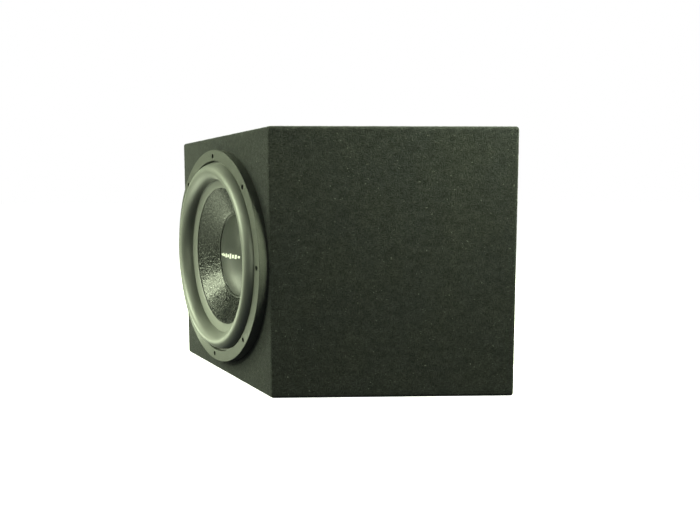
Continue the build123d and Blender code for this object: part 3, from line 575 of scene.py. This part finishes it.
CONE_SLOPE = 0.731
CONE_THICK = 1.2 * MM
CONE_LIP = 0.1013
CONE_RIM = 0.1165
RIM_DROP, RIM_THICK = 0.9 * MM, 1 * MM
SLIT_WIDTH, SLIT_DEPTH = 0.4 * MM, 0.15 * MM
NECK = 0.0321
CAP_RADIUS = 0.064
CAP_RISE = 0.014
LUMP_DEPTH = 0.22 * MM
LUMP_EDGE, LUMP_START = 3 * MM, CAP_RADIUS + 2 * MM
COARSE_LUMPS, FINE_LUMPS = 330, 620
COARSE_SHARE, FINE_SHARE = 0.5, 0.25
FINE_SHIFT = Vector((3, 1, 2))


def cone_height(radius):
    """The height of the cone's straight wall at a radius."""
    return FLANGE_BOTTOM - CONE_SLOPE * (CONE_LIP - radius)


CAP_RIM = cone_height(CAP_RADIUS)


def crumple(points, profile, along):
    """Presses small lumps into the front of the cone, and leaves its edges and back plain."""
    tilt = math.atan(CONE_SLOPE)
    facing = along * -math.sin(tilt) + np.array(OUTWARD)[None, :] * math.cos(tilt)
    for row in range(len(cone_front)):
        radius = profile[row, 0]
        room = min(FLANGE_BORE - radius, radius - LUMP_START)
        ease = min(1.0, room / LUMP_EDGE)
        if ease <= 0:
            continue
        for column in range(points.shape[1]):
            place = Vector(points[row, column])
            lump = noise.noise(place * COARSE_LUMPS) * COARSE_SHARE
            lump += noise.noise(place * FINE_LUMPS + FINE_SHIFT) * FINE_SHARE
            points[row, column] += facing[column] * lump * ease * LUMP_DEPTH
    return points


cone_drop = CONE_THICK * math.sqrt(1 + CONE_SLOPE**2)
cone_front = fine_line(
    [
        (CONE_RIM, FLANGE_BOTTOM - RIM_DROP),
        (FLANGE_BORE - SLIT_WIDTH, FLANGE_BOTTOM - FLANGE_FALL - SLIT_DEPTH),
        (CAP_RADIUS, CAP_RIM),
        (NECK, cone_height(NECK)),
    ],
    step=1.4 * MM,
)
cone_back = [
    (NECK, cone_height(NECK) - cone_drop),
    (CAP_RADIUS, CAP_RIM - cone_drop),
    (FLANGE_BORE, FLANGE_BOTTOM - FLANGE_FALL - cone_drop),
    (CONE_RIM, FLANGE_BOTTOM - RIM_DROP - RIM_THICK),
]
vertices, faces = turned(cone_front + cone_back, segments=420, relief=crumple)
add_piece("cone_shell", vertices, faces, "cone_paper", "cone", ["cone"], sharp=60)

# Dust cap, with the bead of glue round its rim

DOME_RADIUS = (CAP_RADIUS**2 + CAP_RISE**2) / (2 * CAP_RISE)
DOME_CENTRE = CAP_RIM + CAP_RISE - DOME_RADIUS
CAP_THICK = 0.8 * MM
CAP_STEPS = 40
AXIS_RADIUS = 0.2 * MM
BEAD_OUT, BEAD_UP = 1.9 * MM, 1.2 * MM
BEAD_HALF_WIDTH, BEAD_HALF_HEIGHT = 1.6 * MM, 0.9 * MM
BEAD_WANDERS = ((9, 0.35 * MM), (30, 0.2 * MM))
BEAD_STEPS = 12


def dome_height(radius):
    """The height of the cap's face at a radius."""
    return DOME_CENTRE + math.sqrt(DOME_RADIUS**2 - radius**2)


cap_radii = [CAP_RADIUS * (1 - step / CAP_STEPS) for step in range(CAP_STEPS)]
cap_front = [(radius, dome_height(radius)) for radius in cap_radii]
cap_middle = [(AXIS_RADIUS, dome_height(0)), (AXIS_RADIUS, dome_height(0) - CAP_THICK)]
cap_back = [(radius, height - CAP_THICK) for radius, height in reversed(cap_front[1:])]
cap_edge = [(CAP_RADIUS - CAP_THICK, CAP_RIM - CAP_THICK * CONE_SLOPE)]
vertices, faces = turned(cap_front + cap_middle + cap_back + cap_edge, segments=192)
add_piece("dust_cap_dome", vertices, faces, "cap_shell", "cone", ["dust_cap"], sharp=60)


def uneven(points, profile, along):
    """Makes the bead's edge wander a little, as a line of glue does."""
    for column in range(points.shape[1]):
        spoke = Vector(along[column])
        wander = sum(noise.noise(spoke * waves) * reach for waves, reach in BEAD_WANDERS)
        points[:, column] += along[column] * wander
    return points


bead_profile = []
for step in range(BEAD_STEPS):
    angle = 2 * math.pi * step / BEAD_STEPS
    radius = CAP_RADIUS + BEAD_OUT + BEAD_HALF_WIDTH * math.cos(angle)
    bead_profile.append((radius, CAP_RIM + BEAD_UP + BEAD_HALF_HEIGHT * math.sin(angle)))
vertices, faces = turned(bead_profile, RING_SEGMENTS, relief=uneven)
add_piece("cap_glue_bead", vertices, faces, "cap_shell", "cone")

# A generic mark on the cap: bars like those of a level meter, printed in white

BAR_PITCH, BAR_WIDTH = 8.2 * MM, 5.4 * MM
BAR_HEIGHTS = (3.0, 5.0, 3.7, 6.8, 4.6, 7.7, 5.4, 6.3, 3.6)
BAR_SLANT = 0.22
INK_TOP, INK_BOTTOM = 0.12 * MM, -0.05 * MM


def patch_on_dome(left, right, bottom, top, steps=6):
    """A thin closed patch that follows the cap, between two distances across and two up."""
    points, faces = [], []
    for lift in (INK_TOP, INK_BOTTOM):
        for row in range(steps + 1):
            for column in range(steps + 1):
                up = bottom + (top - bottom) * row / steps
                across = left + (right - left) * column / steps + BAR_SLANT * up
                height = dome_height(math.hypot(across, up)) + lift
                points.append(DRIVER + ACROSS * across + UP * up + OUTWARD * height)
    width = steps + 1
    layer = width * width
    for row in range(steps):
        for column in range(steps):
            corner = row * width + column
            quad = (corner, corner + 1, corner + width + 1, corner + width)
            faces.append(quad)
            faces.append(tuple(layer + index for index in quad[::-1]))
    rim = list(range(steps)) + [row * width + steps for row in range(steps)]
    rim += [layer - 1 - column for column in range(steps)]
    rim += [(steps - row) * width for row in range(steps)]
    for index, after in zip(rim, rim[1:] + rim[:1]):
        faces.append((after, index, layer + index, layer + after))
    return points, faces


bars = []
for number, height in enumerate(BAR_HEIGHTS):
    middle = (number - (len(BAR_HEIGHTS) - 1) / 2) * BAR_PITCH
    left, right, half = middle - BAR_WIDTH / 2, middle + BAR_WIDTH / 2, height * MM / 2
    bars.append(patch_on_dome(left, right, -half, half))
vertices, faces = join(bars)
add_piece("cap_mark", vertices, faces, "white_plastic", "cone")

# Tinsel leads between the cone and the terminal board

LEAD_RADIUS = 0.9 * MM
LEAD_SIDES = 10
LEAD_SPACING = 8 * MM
LEAD_START = NECK + 14 * MM
LEAD_GAP = 1.2 * MM
LEAD_BEND = (12 * MM, -5 * MM)
TAG_NEAR, TAG_FAR = (0.0806, -45 * MM), (0.0886, -40 * MM)


def tube(path):
    """Vertices and faces of a closed round tube along a path of points."""
    points, faces = [], []
    previous = None
    for index, place in enumerate(path):
        ahead = path[min(index + 1, len(path) - 1)] - path[max(index - 1, 0)]
        ahead.normalize()
        if previous is None:
            side = ahead.cross(UP).normalized()
        else:
            side = (previous - ahead * previous.dot(ahead)).normalized()
        previous = side
        other = ahead.cross(side)
        for step in range(LEAD_SIDES):
            angle = 2 * math.pi * step / LEAD_SIDES
            spoke = side * math.cos(angle) + other * math.sin(angle)
            points.append(place + spoke * LEAD_RADIUS)
    for row in range(len(path) - 1):
        first, second = row * LEAD_SIDES, (row + 1) * LEAD_SIDES
        for step in range(LEAD_SIDES):
            beside = (step + 1) % LEAD_SIDES
            faces.append((first + step, first + beside, second + beside, second + step))
    last = (len(path) - 1) * LEAD_SIDES
    faces.append(tuple(range(LEAD_SIDES))[::-1])
    faces.append(tuple(range(last, last + LEAD_SIDES)))
    return points, faces


def smooth_path(points, count):
    """Points along a smooth curve through the given ones, count for each stretch."""
    padded = [points[0] * 2 - points[1], *points, points[-1] * 2 - points[-2]]
    result = []
    for before, start, end, after in zip(padded, padded[1:], padded[2:], padded[3:]):
        slope = (end - before) / 2
        bend = (before * 2 - start * 5 + end * 4 - after) / 2
        twist = (start * 3 - before - end * 3 + after) / 2
        for step in range(count):
            share = step / count
            result.append(start + slope * share + bend * share**2 + twist * share**3)
    result.append(points[-1])
    return result


lead_height = cone_height(LEAD_START) - cone_drop - LEAD_GAP
for number, side in enumerate((-1, 1), 1):
    shift = UP * side * LEAD_SPACING
    bends = [
        driver_place(LEAD_START, lead_height) + shift,
        driver_place(LEAD_START + LEAD_BEND[0], lead_height + LEAD_BEND[1]) + shift,
        driver_place(*TAG_NEAR) + shift,
        driver_place(*TAG_FAR) + shift,
    ]
    vertices, faces = tube(smooth_path(bends, count=10))
    replaced = ["tinsel_leads"] if number == 1 else ()
    lead = add_piece(f"tinsel_lead_{number}", vertices, faces, "lead_copper", None, replaced)
    stretch_between(lead)

# Carpet nap: the soft face of the carpet over the baffle, sides, top and rear

ACROSS_STEPS, ALONG_STEPS, HEIGHT_STEPS = 150, 190, 170
DRIVER_HOLE_RADIUS = 0.156
AMP_HOLE_HALF = (0.1216, 0.0966)
NAP_LIFT, NAP_LEAST = 0.42 * MM, 0.1 * MM
WAVES_PER_METRE, LUMPS_PER_METRE, TUFTS_PER_METRE = 38, 330, 800
WAVE_RELIEF, LUMP_RELIEF, TUFT_RELIEF = 0.1 * MM, 0.16 * MM, 0.14 * MM
TUFT_SHIFT = Vector((5, 2, 9))


def baffle_line(x, inset):
    """The baffle's face in plan, set back into the cabinet."""
    return BAFFLE_Y + x * math.tan(SLANT) + inset / math.cos(SLANT)


def plan_corners(inset):
    """The cabinet's four corners in plan, set in from its walls."""
    side, rear = HALF_WIDTH - inset, HALF_DEPTH - inset
    near, far = baffle_line(side, inset), baffle_line(-side, inset)
    return np.array([(side, near), (-side, far), (-side, rear), (side, rear)])


def nearest_inside(points, corners):
    """For each plan point, the nearest point of the plan's shape."""
    best = np.full(len(points), np.inf)
    nearest = points.copy()
    inside = np.ones(len(points), bool)
    for start, end in zip(corners, np.roll(corners, -1, axis=0)):
        edge = end - start
        share = np.clip((points - start) @ edge / (edge @ edge), 0, 1)
        on_edge = start + share[:, None] * edge
        gap = np.linalg.norm(points - on_edge, axis=1)
        closer = gap < best
        nearest[closer] = on_edge[closer]
        best[closer] = gap[closer]
        inside &= edge[0] * (points - start)[:, 1] - edge[1] * (points - start)[:, 0] <= 0
    nearest[inside] = points[inside]
    return nearest


def soften(points):
    """Rounds the sharp cabinet's edges, lifts the nap and gives it its uneven surface."""
    inner = np.empty_like(points)
    inner[:, :2] = nearest_inside(points[:, :2], plan_corners(CORNER_RADIUS))
    inner[:, 2] = np.clip(points[:, 2], CORNER_RADIUS, HEIGHT - CORNER_RADIUS)
    out = points - inner
    out /= np.linalg.norm(out, axis=1)[:, None]
    rounded = inner + out * CORNER_RADIUS
    lift = np.empty(len(points))
    for index, place in enumerate(rounded):
        at = Vector(place)
        wave = noise.noise(at * WAVES_PER_METRE) * WAVE_RELIEF
        lump = noise.noise(at * LUMPS_PER_METRE) * LUMP_RELIEF
        tuft = noise.noise(at * TUFTS_PER_METRE + TUFT_SHIFT) * TUFT_RELIEF
        lift[index] = max(NAP_LEAST, NAP_LIFT + wave + lump + tuft)
    return rounded + out * lift[:, None]


def sheet(corner, along, up, counts):
    """A grid of points over a face, from a corner and two edges, and its faces."""
    columns, rows = counts
    along_share = np.linspace(0, 1, columns + 1)
    up_share = np.linspace(0, 1, rows + 1)
    points = (
        np.array(corner)[None, None, :]
        + along_share[None, :, None] * np.array(along)[None, None, :]
        + up_share[:, None, None] * np.array(up)[None, None, :]
    ).reshape(-1, 3)
    return points, grid_faces(columns, rows)


def grid_faces(columns, rows):
    """The four-sided faces of a grid of points."""
    index = np.arange((columns + 1) * (rows + 1)).reshape(rows + 1, columns + 1)
    corners = (index[:-1, :-1], index[:-1, 1:], index[1:, 1:], index[1:, :-1])
    return np.stack([corner.ravel() for corner in corners], 1)


def keep_faces(points, faces, keep):
    """Drops the faces whose centre isn't kept, and the points left over."""
    centre = points[faces].mean(1)
    faces = faces[keep(centre)]
    used = np.unique(faces)
    place = np.full(len(points), -1)
    place[used] = np.arange(len(used))
    return points[used], place[faces]


def outside_driver(centre):
    """Whether faces lie outside the driver's hole, by their centres."""
    at = centre - np.array(DRIVER)
    return np.hypot(at @ np.array(ACROSS), at @ np.array(UP)) > DRIVER_HOLE_RADIUS


def outside_amp(centre):
    """Whether faces lie outside the amplifier's hole, by their centres."""
    beside = np.abs(centre[:, 0]) > AMP_HOLE_HALF[0]
    return beside | (np.abs(centre[:, 2] - HEIGHT / 2) > AMP_HOLE_HALF[1])


def add_nap(name, points, faces, keep=None):
    """A piece of nap over one face, with a hole where keep says so."""
    points = soften(points)
    if keep:
        points, faces = keep_faces(points, faces, keep)
    add_piece(name, points, faces.tolist(), "carpet", "enclosure", sharp=180)


near, far, rear_far, rear_near = [np.array((x, y, 0.0)) for x, y in plan_corners(0)]
rise = np.array((0, 0, HEIGHT))
walls = (
    ("front", far, near, ACROSS_STEPS, outside_driver),
    ("short_side", near, rear_near, ALONG_STEPS, None),
    ("rear", rear_near, rear_far, ACROSS_STEPS, outside_amp),
    ("long_side", rear_far, far, ALONG_STEPS, None),
)
for name, start, end, steps, keep in walls:
    points, faces = sheet(start, end - start, rise, (steps, HEIGHT_STEPS))
    add_nap(f"carpet_nap_{name}", points, faces, keep)
across = np.linspace(0, 1, ACROSS_STEPS + 1)[None, :, None]
along = np.linspace(0, 1, ALONG_STEPS + 1)[:, None, None]
front_edge = far[None, None] * (1 - across) + near[None, None] * across
rear_edge = rear_far[None, None] * (1 - across) + rear_near[None, None] * across
points = (front_edge * (1 - along) + rear_edge * along + rise[None, None]).reshape(-1, 3)
add_nap("carpet_nap_top", points, grid_faces(ACROSS_STEPS, ALONG_STEPS))

# Amplifier: the carpet's turned-in edge, printed marks and the knobs' white pointers.
# Print is placed and sized in millimetres from the plate's centre. The edge's outline is in
# millimetres out from the rebate's wall and up from its floor.

PLATE_FRONT = 5 * MM
PRINT_BOTTOM, PRINT_TOP = PLATE_FRONT - 0.03 * MM, PLATE_FRONT + 0.06 * MM
REBATE_HALF = (0.121, 0.096)
REBATE_CORNER = 9 * MM
CORNER_STEPS = 8
LOOP_STRIDE = 3 * MM
CREASE_HEIGHT, CREASE_WANDER = 9.3, 0.12
CONTROL_HEIGHT = -18
KNOBS = (("gain_knob", -84, 0), ("crossover_knob", -46, 0), ("bass_knob", -8, 135))
KNOB_FRONT = 22 * MM
POINTER_BOTTOM, POINTER_TOP = KNOB_FRONT - 0.52 * MM, KNOB_FRONT - 0.1 * MM
POINTER_OUT, POINTER_LENGTH, POINTER_WIDTH = 4.5 * MM, 5 * MM, 0.86 * MM
TICK_COUNT, TICK_TURN, FIRST_TICK = 11, 27, -45
TICK_RADIUS, TICK_WIDTH = 10.2, 0.55
LONG_TICK, SHORT_TICK = 3.2, 1.8
SWITCHES = (32, 64)
LINE_WIDTH = 0.5
JACK_FRAME = (-81, -60, 21, 12)
CELL_FRAME = (78, -57.5, 30, 17)
CELL_STROKES = ((60, 0), (60, 90), (78, 0), (96, 45), (96, -45))
CELL_MARK_HEIGHT = -44.6


def rounded_loop(half_x, half_y, radius):
    """Places round a rectangle with round corners, each with its outward direction."""
    places = []
    signs = ((1, 1), (-1, 1), (-1, -1), (1, -1))
    centres = [Vector(((half_x - radius) * x, (half_y - radius) * y)) for x, y in signs]
    for number, (centre, next_centre) in enumerate(zip(centres, centres[1:] + centres[:1])):
        for step in range(CORNER_STEPS):
            angle = math.pi / 2 * (number + step / CORNER_STEPS)
            normal = Vector((math.cos(angle), math.sin(angle)))
            places.append((centre + normal * radius, normal))
        angle = math.pi / 2 * (number + 1)
        normal = Vector((math.cos(angle), math.sin(angle)))
        start, end = centre + normal * radius, next_centre + normal * radius
        count = math.ceil((end - start).length / LOOP_STRIDE)
        places += [(start.lerp(end, share / count), normal) for share in range(count)]
    return places


loop = rounded_loop(*REBATE_HALF, REBATE_CORNER)
fold = [(-0.35, 0.3), (-0.35, 4.0), (-0.35, 8.6), (-0.1, 9.5), (0.6, 10.0), (1.8, 10.1), (3.0, 9.8)]
fold += [(3.4, 9.2), (2.0, 9.05), (0.0, 9.05), (0.0, 4.0), (0.0, 0.3)]
vertices = []
for place, normal in loop:
    for offset, height in fold:
        at = place + normal * offset * MM
        if height > CREASE_HEIGHT:
            height += noise.noise(Vector((*place, height * MM)) * 260) * CREASE_WANDER
        vertices.append(amp_place(at.x, at.y, height * MM))
add_piece(
    "carpet_fold", vertices, ring_faces(len(loop), len(fold)), "carpet", "enclosure", sharp=50
)


def bar(middle, length, width, angle, low, high):
    """A bar on the amplifier's face, lying along an angle in degrees."""
    turn = math.radians(angle)
    along = Vector((math.cos(turn), math.sin(turn))) * length / 2
    across = Vector((-math.sin(turn), math.cos(turn))) * width / 2
    corners = ((-1, -1), (1, -1), (1, 1), (-1, 1))
    plan = [Vector(middle) + along * i + across * j for i, j in corners]
    points = [amp_place(at.x, at.y, height) for height in (low, high) for at in plan]
    faces = [(3, 2, 1, 0), (4, 5, 6, 7)]
    faces += [(k, (k + 1) % 4, 4 + (k + 1) % 4, 4 + k) for k in range(4)]
    return points, faces


def printed(x, y, length, width, angle):
    """A printed stroke, with its middle in millimetres from the plate's centre."""
    middle = (x * MM, y * MM)
    return bar(middle, length * MM, width * MM, angle, PRINT_BOTTOM, PRINT_TOP)


def outline(x, y, half_x, half_y):
    """A printed frame."""
    level, upright = 2 * half_x + LINE_WIDTH, 2 * half_y - LINE_WIDTH
    sides = [printed(x, y + side * half_y, level, LINE_WIDTH, 0) for side in (-1, 1)]
    return sides + [printed(x + side * half_x, y, upright, LINE_WIDTH, 90) for side in (-1, 1)]


def dial(x):
    """Printed ticks round a knob, a long one every fifth."""
    ticks = []
    for step in range(TICK_COUNT):
        angle = FIRST_TICK + TICK_TURN * step
        length = LONG_TICK if step % 5 == 0 else SHORT_TICK
        reach = TICK_RADIUS + length / 2
        across, up = reach * math.cos(math.radians(angle)), reach * math.sin(math.radians(angle))
        ticks.append(printed(x + across, CONTROL_HEIGHT + up, length, TICK_WIDTH, angle))
    return ticks


def add_pointer(knob, x, turn):
    """A white bar let into a knob's face, which points up when turn is 0."""
    angle = 90 + turn
    direction = Vector((math.cos(math.radians(angle)), math.sin(math.radians(angle))))
    middle = Vector((x, CONTROL_HEIGHT)) * MM + direction * POINTER_OUT
    size = (POINTER_LENGTH, POINTER_WIDTH)
    vertices, faces = bar(middle, *size, angle, POINTER_BOTTOM, POINTER_TOP)
    add_piece(knob.replace("knob", "pointer"), vertices, faces, "white_plastic", knob)


def switch_marks(x):
    """A short stroke above each place of a switch's lever, and a line below them."""
    places = [printed(x + shift, CONTROL_HEIGHT + 5.5, 2.4, 0.6, 90) for shift in (-2, 2)]
    return places + [printed(x, CONTROL_HEIGHT - 5, 9, LINE_WIDTH, 0)]


def cell_marks():
    """A plus, a minus and a cross over the three power cells."""
    return [printed(x, CELL_MARK_HEIGHT, 4, 0.8, angle) for x, angle in CELL_STROKES]


strokes = []
for knob, x, turn in KNOBS:
    strokes += dial(x)
    add_pointer(knob, x, turn)
for x in SWITCHES:
    strokes += switch_marks(x)
strokes += outline(*JACK_FRAME) + outline(*CELL_FRAME) + cell_marks()
vertices, faces = join(strokes)
add_piece("amp_marks", vertices, faces, "white_plastic", "enclosure")

# Floor, lights and camera

FLOOR_REACH = 40
PAPER = ((0.86, 0.86, 0.86), (0.9, 0.9, 0.9))
AMBIENT = 0.08
ROOM_TINT = (0.86, 1.0, 1.05, 1)
WARM_LIGHT = (0.88, 1.0, 0.68)
WHITE = (1, 1, 1, 1)


def lay_floor():
    """A pale floor that glows, a little less round the middle, and lights nothing."""
    mesh = bpy.data.meshes.new("floor")
    signs = ((-1, -1), (1, -1), (1, 1), (-1, 1))
    corners = [(x * FLOOR_REACH, y * FLOOR_REACH, 0) for x, y in signs]
    mesh.from_pydata(corners, [], [(0, 1, 2, 3)])
    floor = bpy.data.objects.new("floor", mesh)
    bpy.context.scene.collection.objects.link(floor)
    finish = Finish("floor", 0.9)
    finish.shader.inputs["Emission Color"].default_value = WHITE
    distance = finish.tree.nodes.new("ShaderNodeVectorMath")
    distance.operation = "LENGTH"
    finish.link(finish.coordinates, distance.inputs[0])
    glow = finish.span(distance.outputs["Value"], 0.3, 1.2, 0.8, 0.96)
    finish.link(glow, finish.shader.inputs["Emission Strength"])
    finish.colour(finish.mix(finish.noise(0.6), *PAPER))
    mesh.materials.append(finish.material)
    floor.visible_diffuse = False
    floor.visible_glossy = False


def fill_world():
    """A white backdrop for the camera, and a faint even light for everything else."""
    world = bpy.data.worlds.new("studio")
    world.use_nodes = True
    nodes, links = world.node_tree.nodes, world.node_tree.links
    backdrop = nodes["Background"]
    backdrop.inputs["Color"].default_value = WHITE
    room = nodes.new("ShaderNodeBackground")
    room.inputs["Color"].default_value = ROOM_TINT
    room.inputs["Strength"].default_value = AMBIENT
    seen = nodes.new("ShaderNodeLightPath")
    choose = nodes.new("ShaderNodeMixShader")
    links.new(seen.outputs["Is Camera Ray"], choose.inputs[0])
    links.new(room.outputs[0], choose.inputs[1])
    links.new(backdrop.outputs[0], choose.inputs[2])
    links.new(choose.outputs[0], nodes["World Output"].inputs[0])
    bpy.context.scene.world = world


def add_softbox(name, place, target, size, power, tilt=0, diffuse=True, glossy=True):
    """A rectangular light, which may be left out of diffuse light or of reflections."""
    light = bpy.data.lights.new(name, "AREA")
    light.shape = "RECTANGLE"
    light.size, light.size_y = size
    light.energy = power
    light.color = WARM_LIGHT
    lamp = bpy.data.objects.new(name, light)
    bpy.context.scene.collection.objects.link(lamp)
    lamp.location = place
    lamp.rotation_mode = "QUATERNION"
    aim = (Vector(target) - Vector(place)).to_track_quat("-Z", "Y")
    lamp.rotation_quaternion = aim @ Quaternion((0, 0, 1), math.radians(tilt))
    lamp.visible_camera = False
    lamp.visible_diffuse = diffuse
    lamp.visible_glossy = glossy


def light_driver(name, direction, distance, size, power, **how):
    """A softbox in some direction from the driver, turned to face it."""
    place = DRIVER + Vector(direction).normalized() * distance
    add_softbox(name, place, DRIVER, size, power, **how)


lay_floor()
fill_world()
light_driver("key", (-0.36, -0.82, 0.44), 1.4, (0.7, 0.7), 31, glossy=False)
light_driver("fill", (0.35, -0.8, 0.48), 2.2, (1.0, 1.0), 30, glossy=False)
light_driver("accent", (0.28, -0.86, 0.39), 2.2, (0.34, 0.14), 24, tilt=-45)
light_driver("glow", (0.1, -0.93, 0.32), 1.3, (0.35, 0.4), 11, diffuse=False)
add_softbox("bounce", (-0.1, -0.6, 0.015), DRIVER, (0.5, 0.3), 0.9)
light_driver("crest", (0.62, -0.42, 0.6), 1.8, (0.9, 0.6), 8, diffuse=False)
light_driver("flank", (0.8, 0.3, 0.1), 1.8, (0.9, 0.9), 12, diffuse=False)
add_softbox(
    "floor_glow", (-0.16, -0.44, 0.01), (-0.16, -0.44, 1.0), (0.3, 0.25), 1.15, diffuse=False
)
add_softbox("top", (0.32, 0.42, 0.8), (0.14, 0.15, 0.2), (0.4, 0.4), 20, glossy=False)
add_softbox("rear", (-0.7, 1.7, 1.0), (0, 0.25, 0.18), (1.0, 1.0), 36)

CAMERA_PLACE = (1.00725, 0.00208, 0.27177)
YAW, PITCH, LEAN = math.radians(1.7426), math.radians(5.5918), math.radians(-0.0866)
SENSOR_WIDTH, LENS = 36, 33.191

camera_data = bpy.data.cameras.new("camera")
camera_data.sensor_width = SENSOR_WIDTH
camera_data.lens = LENS
camera = bpy.data.objects.new("camera", camera_data)
bpy.context.scene.collection.objects.link(camera)
level = Vector((-math.cos(YAW), math.sin(YAW), 0))
ahead = level * math.cos(PITCH) - UP * math.sin(PITCH)
right = ahead.cross(UP).normalized()
above = right.cross(ahead)
lean_right = right * math.cos(LEAN) + above * math.sin(LEAN)
lean_up = above * math.cos(LEAN) - right * math.sin(LEAN)
camera.rotation_mode = "QUATERNION"
camera.rotation_quaternion = Matrix((lean_right, lean_up, -ahead)).transposed().to_quaternion()
camera.location = CAMERA_PLACE
bpy.context.scene.camera = camera

view_settings = bpy.context.scene.view_settings
view_settings.view_transform = "Standard"
view_settings.look = "None"
